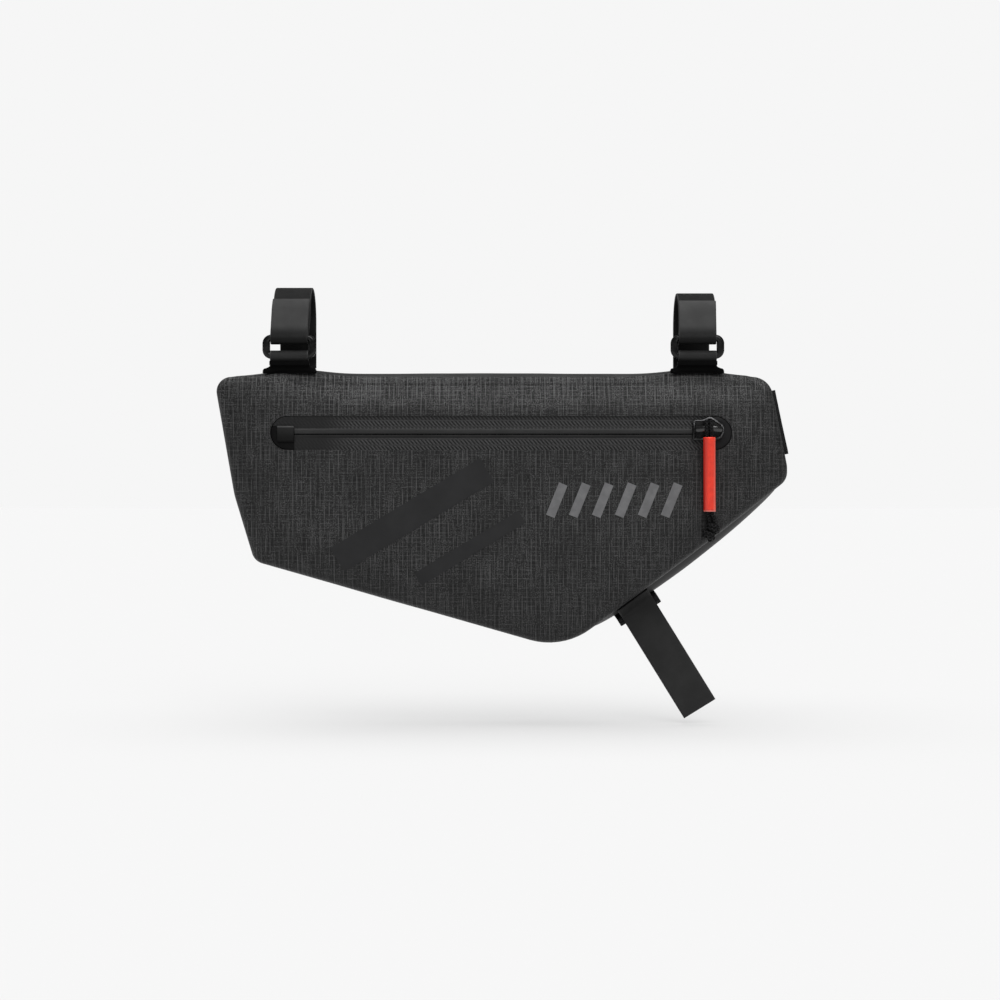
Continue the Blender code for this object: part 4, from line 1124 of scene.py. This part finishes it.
# The lower strap is the same webbing, plain, hanging free from the gusset's slanted edge with a
# square end. Behind it a wider tab of grey laminate backs its root.
LOWER_LENGTH = 0.0870
BACKING_LENGTH = 0.0100
BACKING_WIDTH = 0.0325
LOWER_PLACE = Vector((0.09565, 0.0, -0.19014))
LOWER_DOWN = Vector((0.5255, 0.0, -0.8508))
LOWER_ACROSS = Vector((0.8508, 0.0, 0.5255))
EDGE_PLACE = Vector((0.09495, 0.0, -0.18660))
EDGE_OUT = Vector((0.5917, 0.0, -0.8061))
EDGE_BULGE = 0.0050
STRAP_TURN = 0.0045


def lower_path(side, hang, seat, length):
    along = Vector((-EDGE_OUT.z, 0, EDGE_OUT.x))
    crest = gusset_rise(0, EDGE_BULGE) + seat + STRAP_THICKNESS / 2
    reach = (crest - (LOWER_PLACE - EDGE_PLACE).dot(EDGE_OUT)) / LOWER_DOWN.dot(EDGE_OUT)
    start = EDGE_PLACE + along * (LOWER_PLACE + LOWER_DOWN * reach - EDGE_PLACE).dot(along)
    path, wides = [], []
    for i in range(8):
        depth = side * (0.86 - 0.46 * i / 7) * PANEL_EDGE
        rise = gusset_rise(depth, EDGE_BULGE) + seat + STRAP_THICKNESS / 2
        path.append(start + EDGE_OUT * rise + Vector((0, depth, 0)))
        wides.append(along)
    off = Vector((0, hang, 0))
    turned = LOWER_PLACE + LOWER_DOWN * (reach + STRAP_TURN) + off
    corner = LOWER_PLACE + LOWER_DOWN * (reach + STRAP_TURN * 0.2) + off
    bend = interpolate_bezier(path[-1], path[-1].lerp(corner, 0.8), corner, turned, 13)[1:]
    for i, point in enumerate(bend):
        path.append(point)
        wides.append(along.lerp(LOWER_ACROSS, (i + 1) / len(bend)))
    end = LOWER_PLACE + LOWER_DOWN * length + off
    for i in range(1, 15):
        share = i / 14
        bow = Vector((0, -0.0006 * math.sin(math.pi * share), 0))
        path.append(turned.lerp(end, share) + bow)
        wides.append(LOWER_ACROSS)
    return path, wides


backing_finish = dark_material("backing_laminate", 0.0120, 0.0165, gleam=0.15)
path, wides = lower_path(-1, -0.00155, 0.0006, LOWER_LENGTH)
shape = strap_shape(path, wides, STRAP_WIDTH, STRAP_THICKNESS)
piece("hanging_strap", shape, plain_webbing, "satin_strap", "lower_strap")
path, wides = lower_path(1, 0.00035, 0.0009, BACKING_LENGTH)
shape = strap_shape(path, wides, BACKING_WIDTH, STRAP_THICKNESS)
piece("strap_backing", shape, backing_finish, "black_foot", "lower_strap_base")


# A thin flap of grey laminate covers the cable port on the right end. It is welded at its top,
# follows the gusset's crown and is free at its foot.
FLAP_LENGTH = 0.0445
FLAP_WIDTH = 0.030
FLAP_THICKNESS = 0.0024
FLAP_START = -0.0024
FLAP_CROWN = 0.00104
start = rounded_corners()[1][3]
run = (rounded_corners()[2][0] - start).normalized()
out = Vector((-run.y, run.x))
loops = []
for step in range(25):
    share = step / 24
    place = start + run * (FLAP_LENGTH * share + FLAP_START)
    lift = FLAP_CROWN + 0.0004 + 0.0006 * share ** 2
    narrow = 1 - 0.10 * max(0.0, (share - 0.9) / 0.1) ** 2
    loop = []
    for rise, order in ((0.0, range(-8, 9)), (FLAP_THICKNESS, range(8, -9, -1))):
        for i in order:
            across = i / 16
            spot = place + out * (lift + rise - (across * 2) ** 2 * FLAP_CROWN)
            loop.append(Vector((spot.x, across * FLAP_WIDTH * narrow, spot.y)))
    loops.append(loop)
piece("port_flap", skin(loops, caps=True), end_finish, "dark_laminate", "cable_flap")


# Two plain slanted bands of smooth dark film are welded on the front panel, and a row of short
# slanted bars of grey reflective film sits under the zip's right half.
def film_shape(centre, length, width, angle):
    """A thin film on the panel, by its middle, size and angle, in metres and degrees."""
    turn = math.radians(angle)
    long, wide = Vector((math.cos(turn), math.sin(turn))), Vector((-math.sin(turn), math.cos(turn)))
    along, across = max(2, math.ceil(length / 0.004)), max(2, math.ceil(width / 0.003))
    shape = bmesh.new()
    grid = []
    for i in range(along + 1):
        row = []
        for j in range(across + 1):
            a, b = (i / along - 0.5) * length, (j / across - 0.5) * width
            spot = Vector(centre) + long * a + wide * b
            row.append(shape.verts.new((spot.x, face_y(spot.x, spot.y) - 0.00022, spot.y)))
        grid.append(row)
    for i in range(along):
        for j in range(across):
            shape.faces.new((grid[i][j], grid[i + 1][j], grid[i + 1][j + 1], grid[i][j + 1]))
    bmesh.ops.recalc_face_normals(shape, faces=shape.faces)
    bmesh.ops.solidify(shape, geom=shape.faces[:], thickness=0.00012)
    return shape


def reflective_material():
    made, tree = principled("reflective_film", (0.20, 0.20, 0.205), 0.42, Metallic=0.15)
    vector = place_of(tree)[0]
    beads = node(tree, "ShaderNodeTexVoronoi", {"Vector": vector, "Scale": 2600.0}).outputs["Distance"]
    broad = grain(tree, vector, 130.0, 3.0)
    colour = mixed(tree, ramp(tree, broad, 0.3, 0.7), (0.110, 0.110, 0.113), (0.150, 0.150, 0.154))
    return surfaced(made, colour, ramp(tree, beads, 0.0, 0.6, 0.35, 0.6), beads, 0.00004)


band_finish = dark_material("dark_film", 0.0125, 0.0160)
for name, centre, length, width in (
    ("dark_band_long", (-0.0557, -0.1305), 0.118, 0.0185),
    ("dark_band_short", (-0.0166, -0.1528), 0.082, 0.0095),
):
    piece(name, film_shape(centre, length, width, 31.0), band_finish, "dark_laminate")
reflective = reflective_material()
for i in range(6):
    centre = (0.0420 + 0.0155 * i, -0.1205)
    piece(f"grey_bar_{i}", film_shape(centre, 0.0235, 0.0062, 68.0), reflective, "dark_laminate")
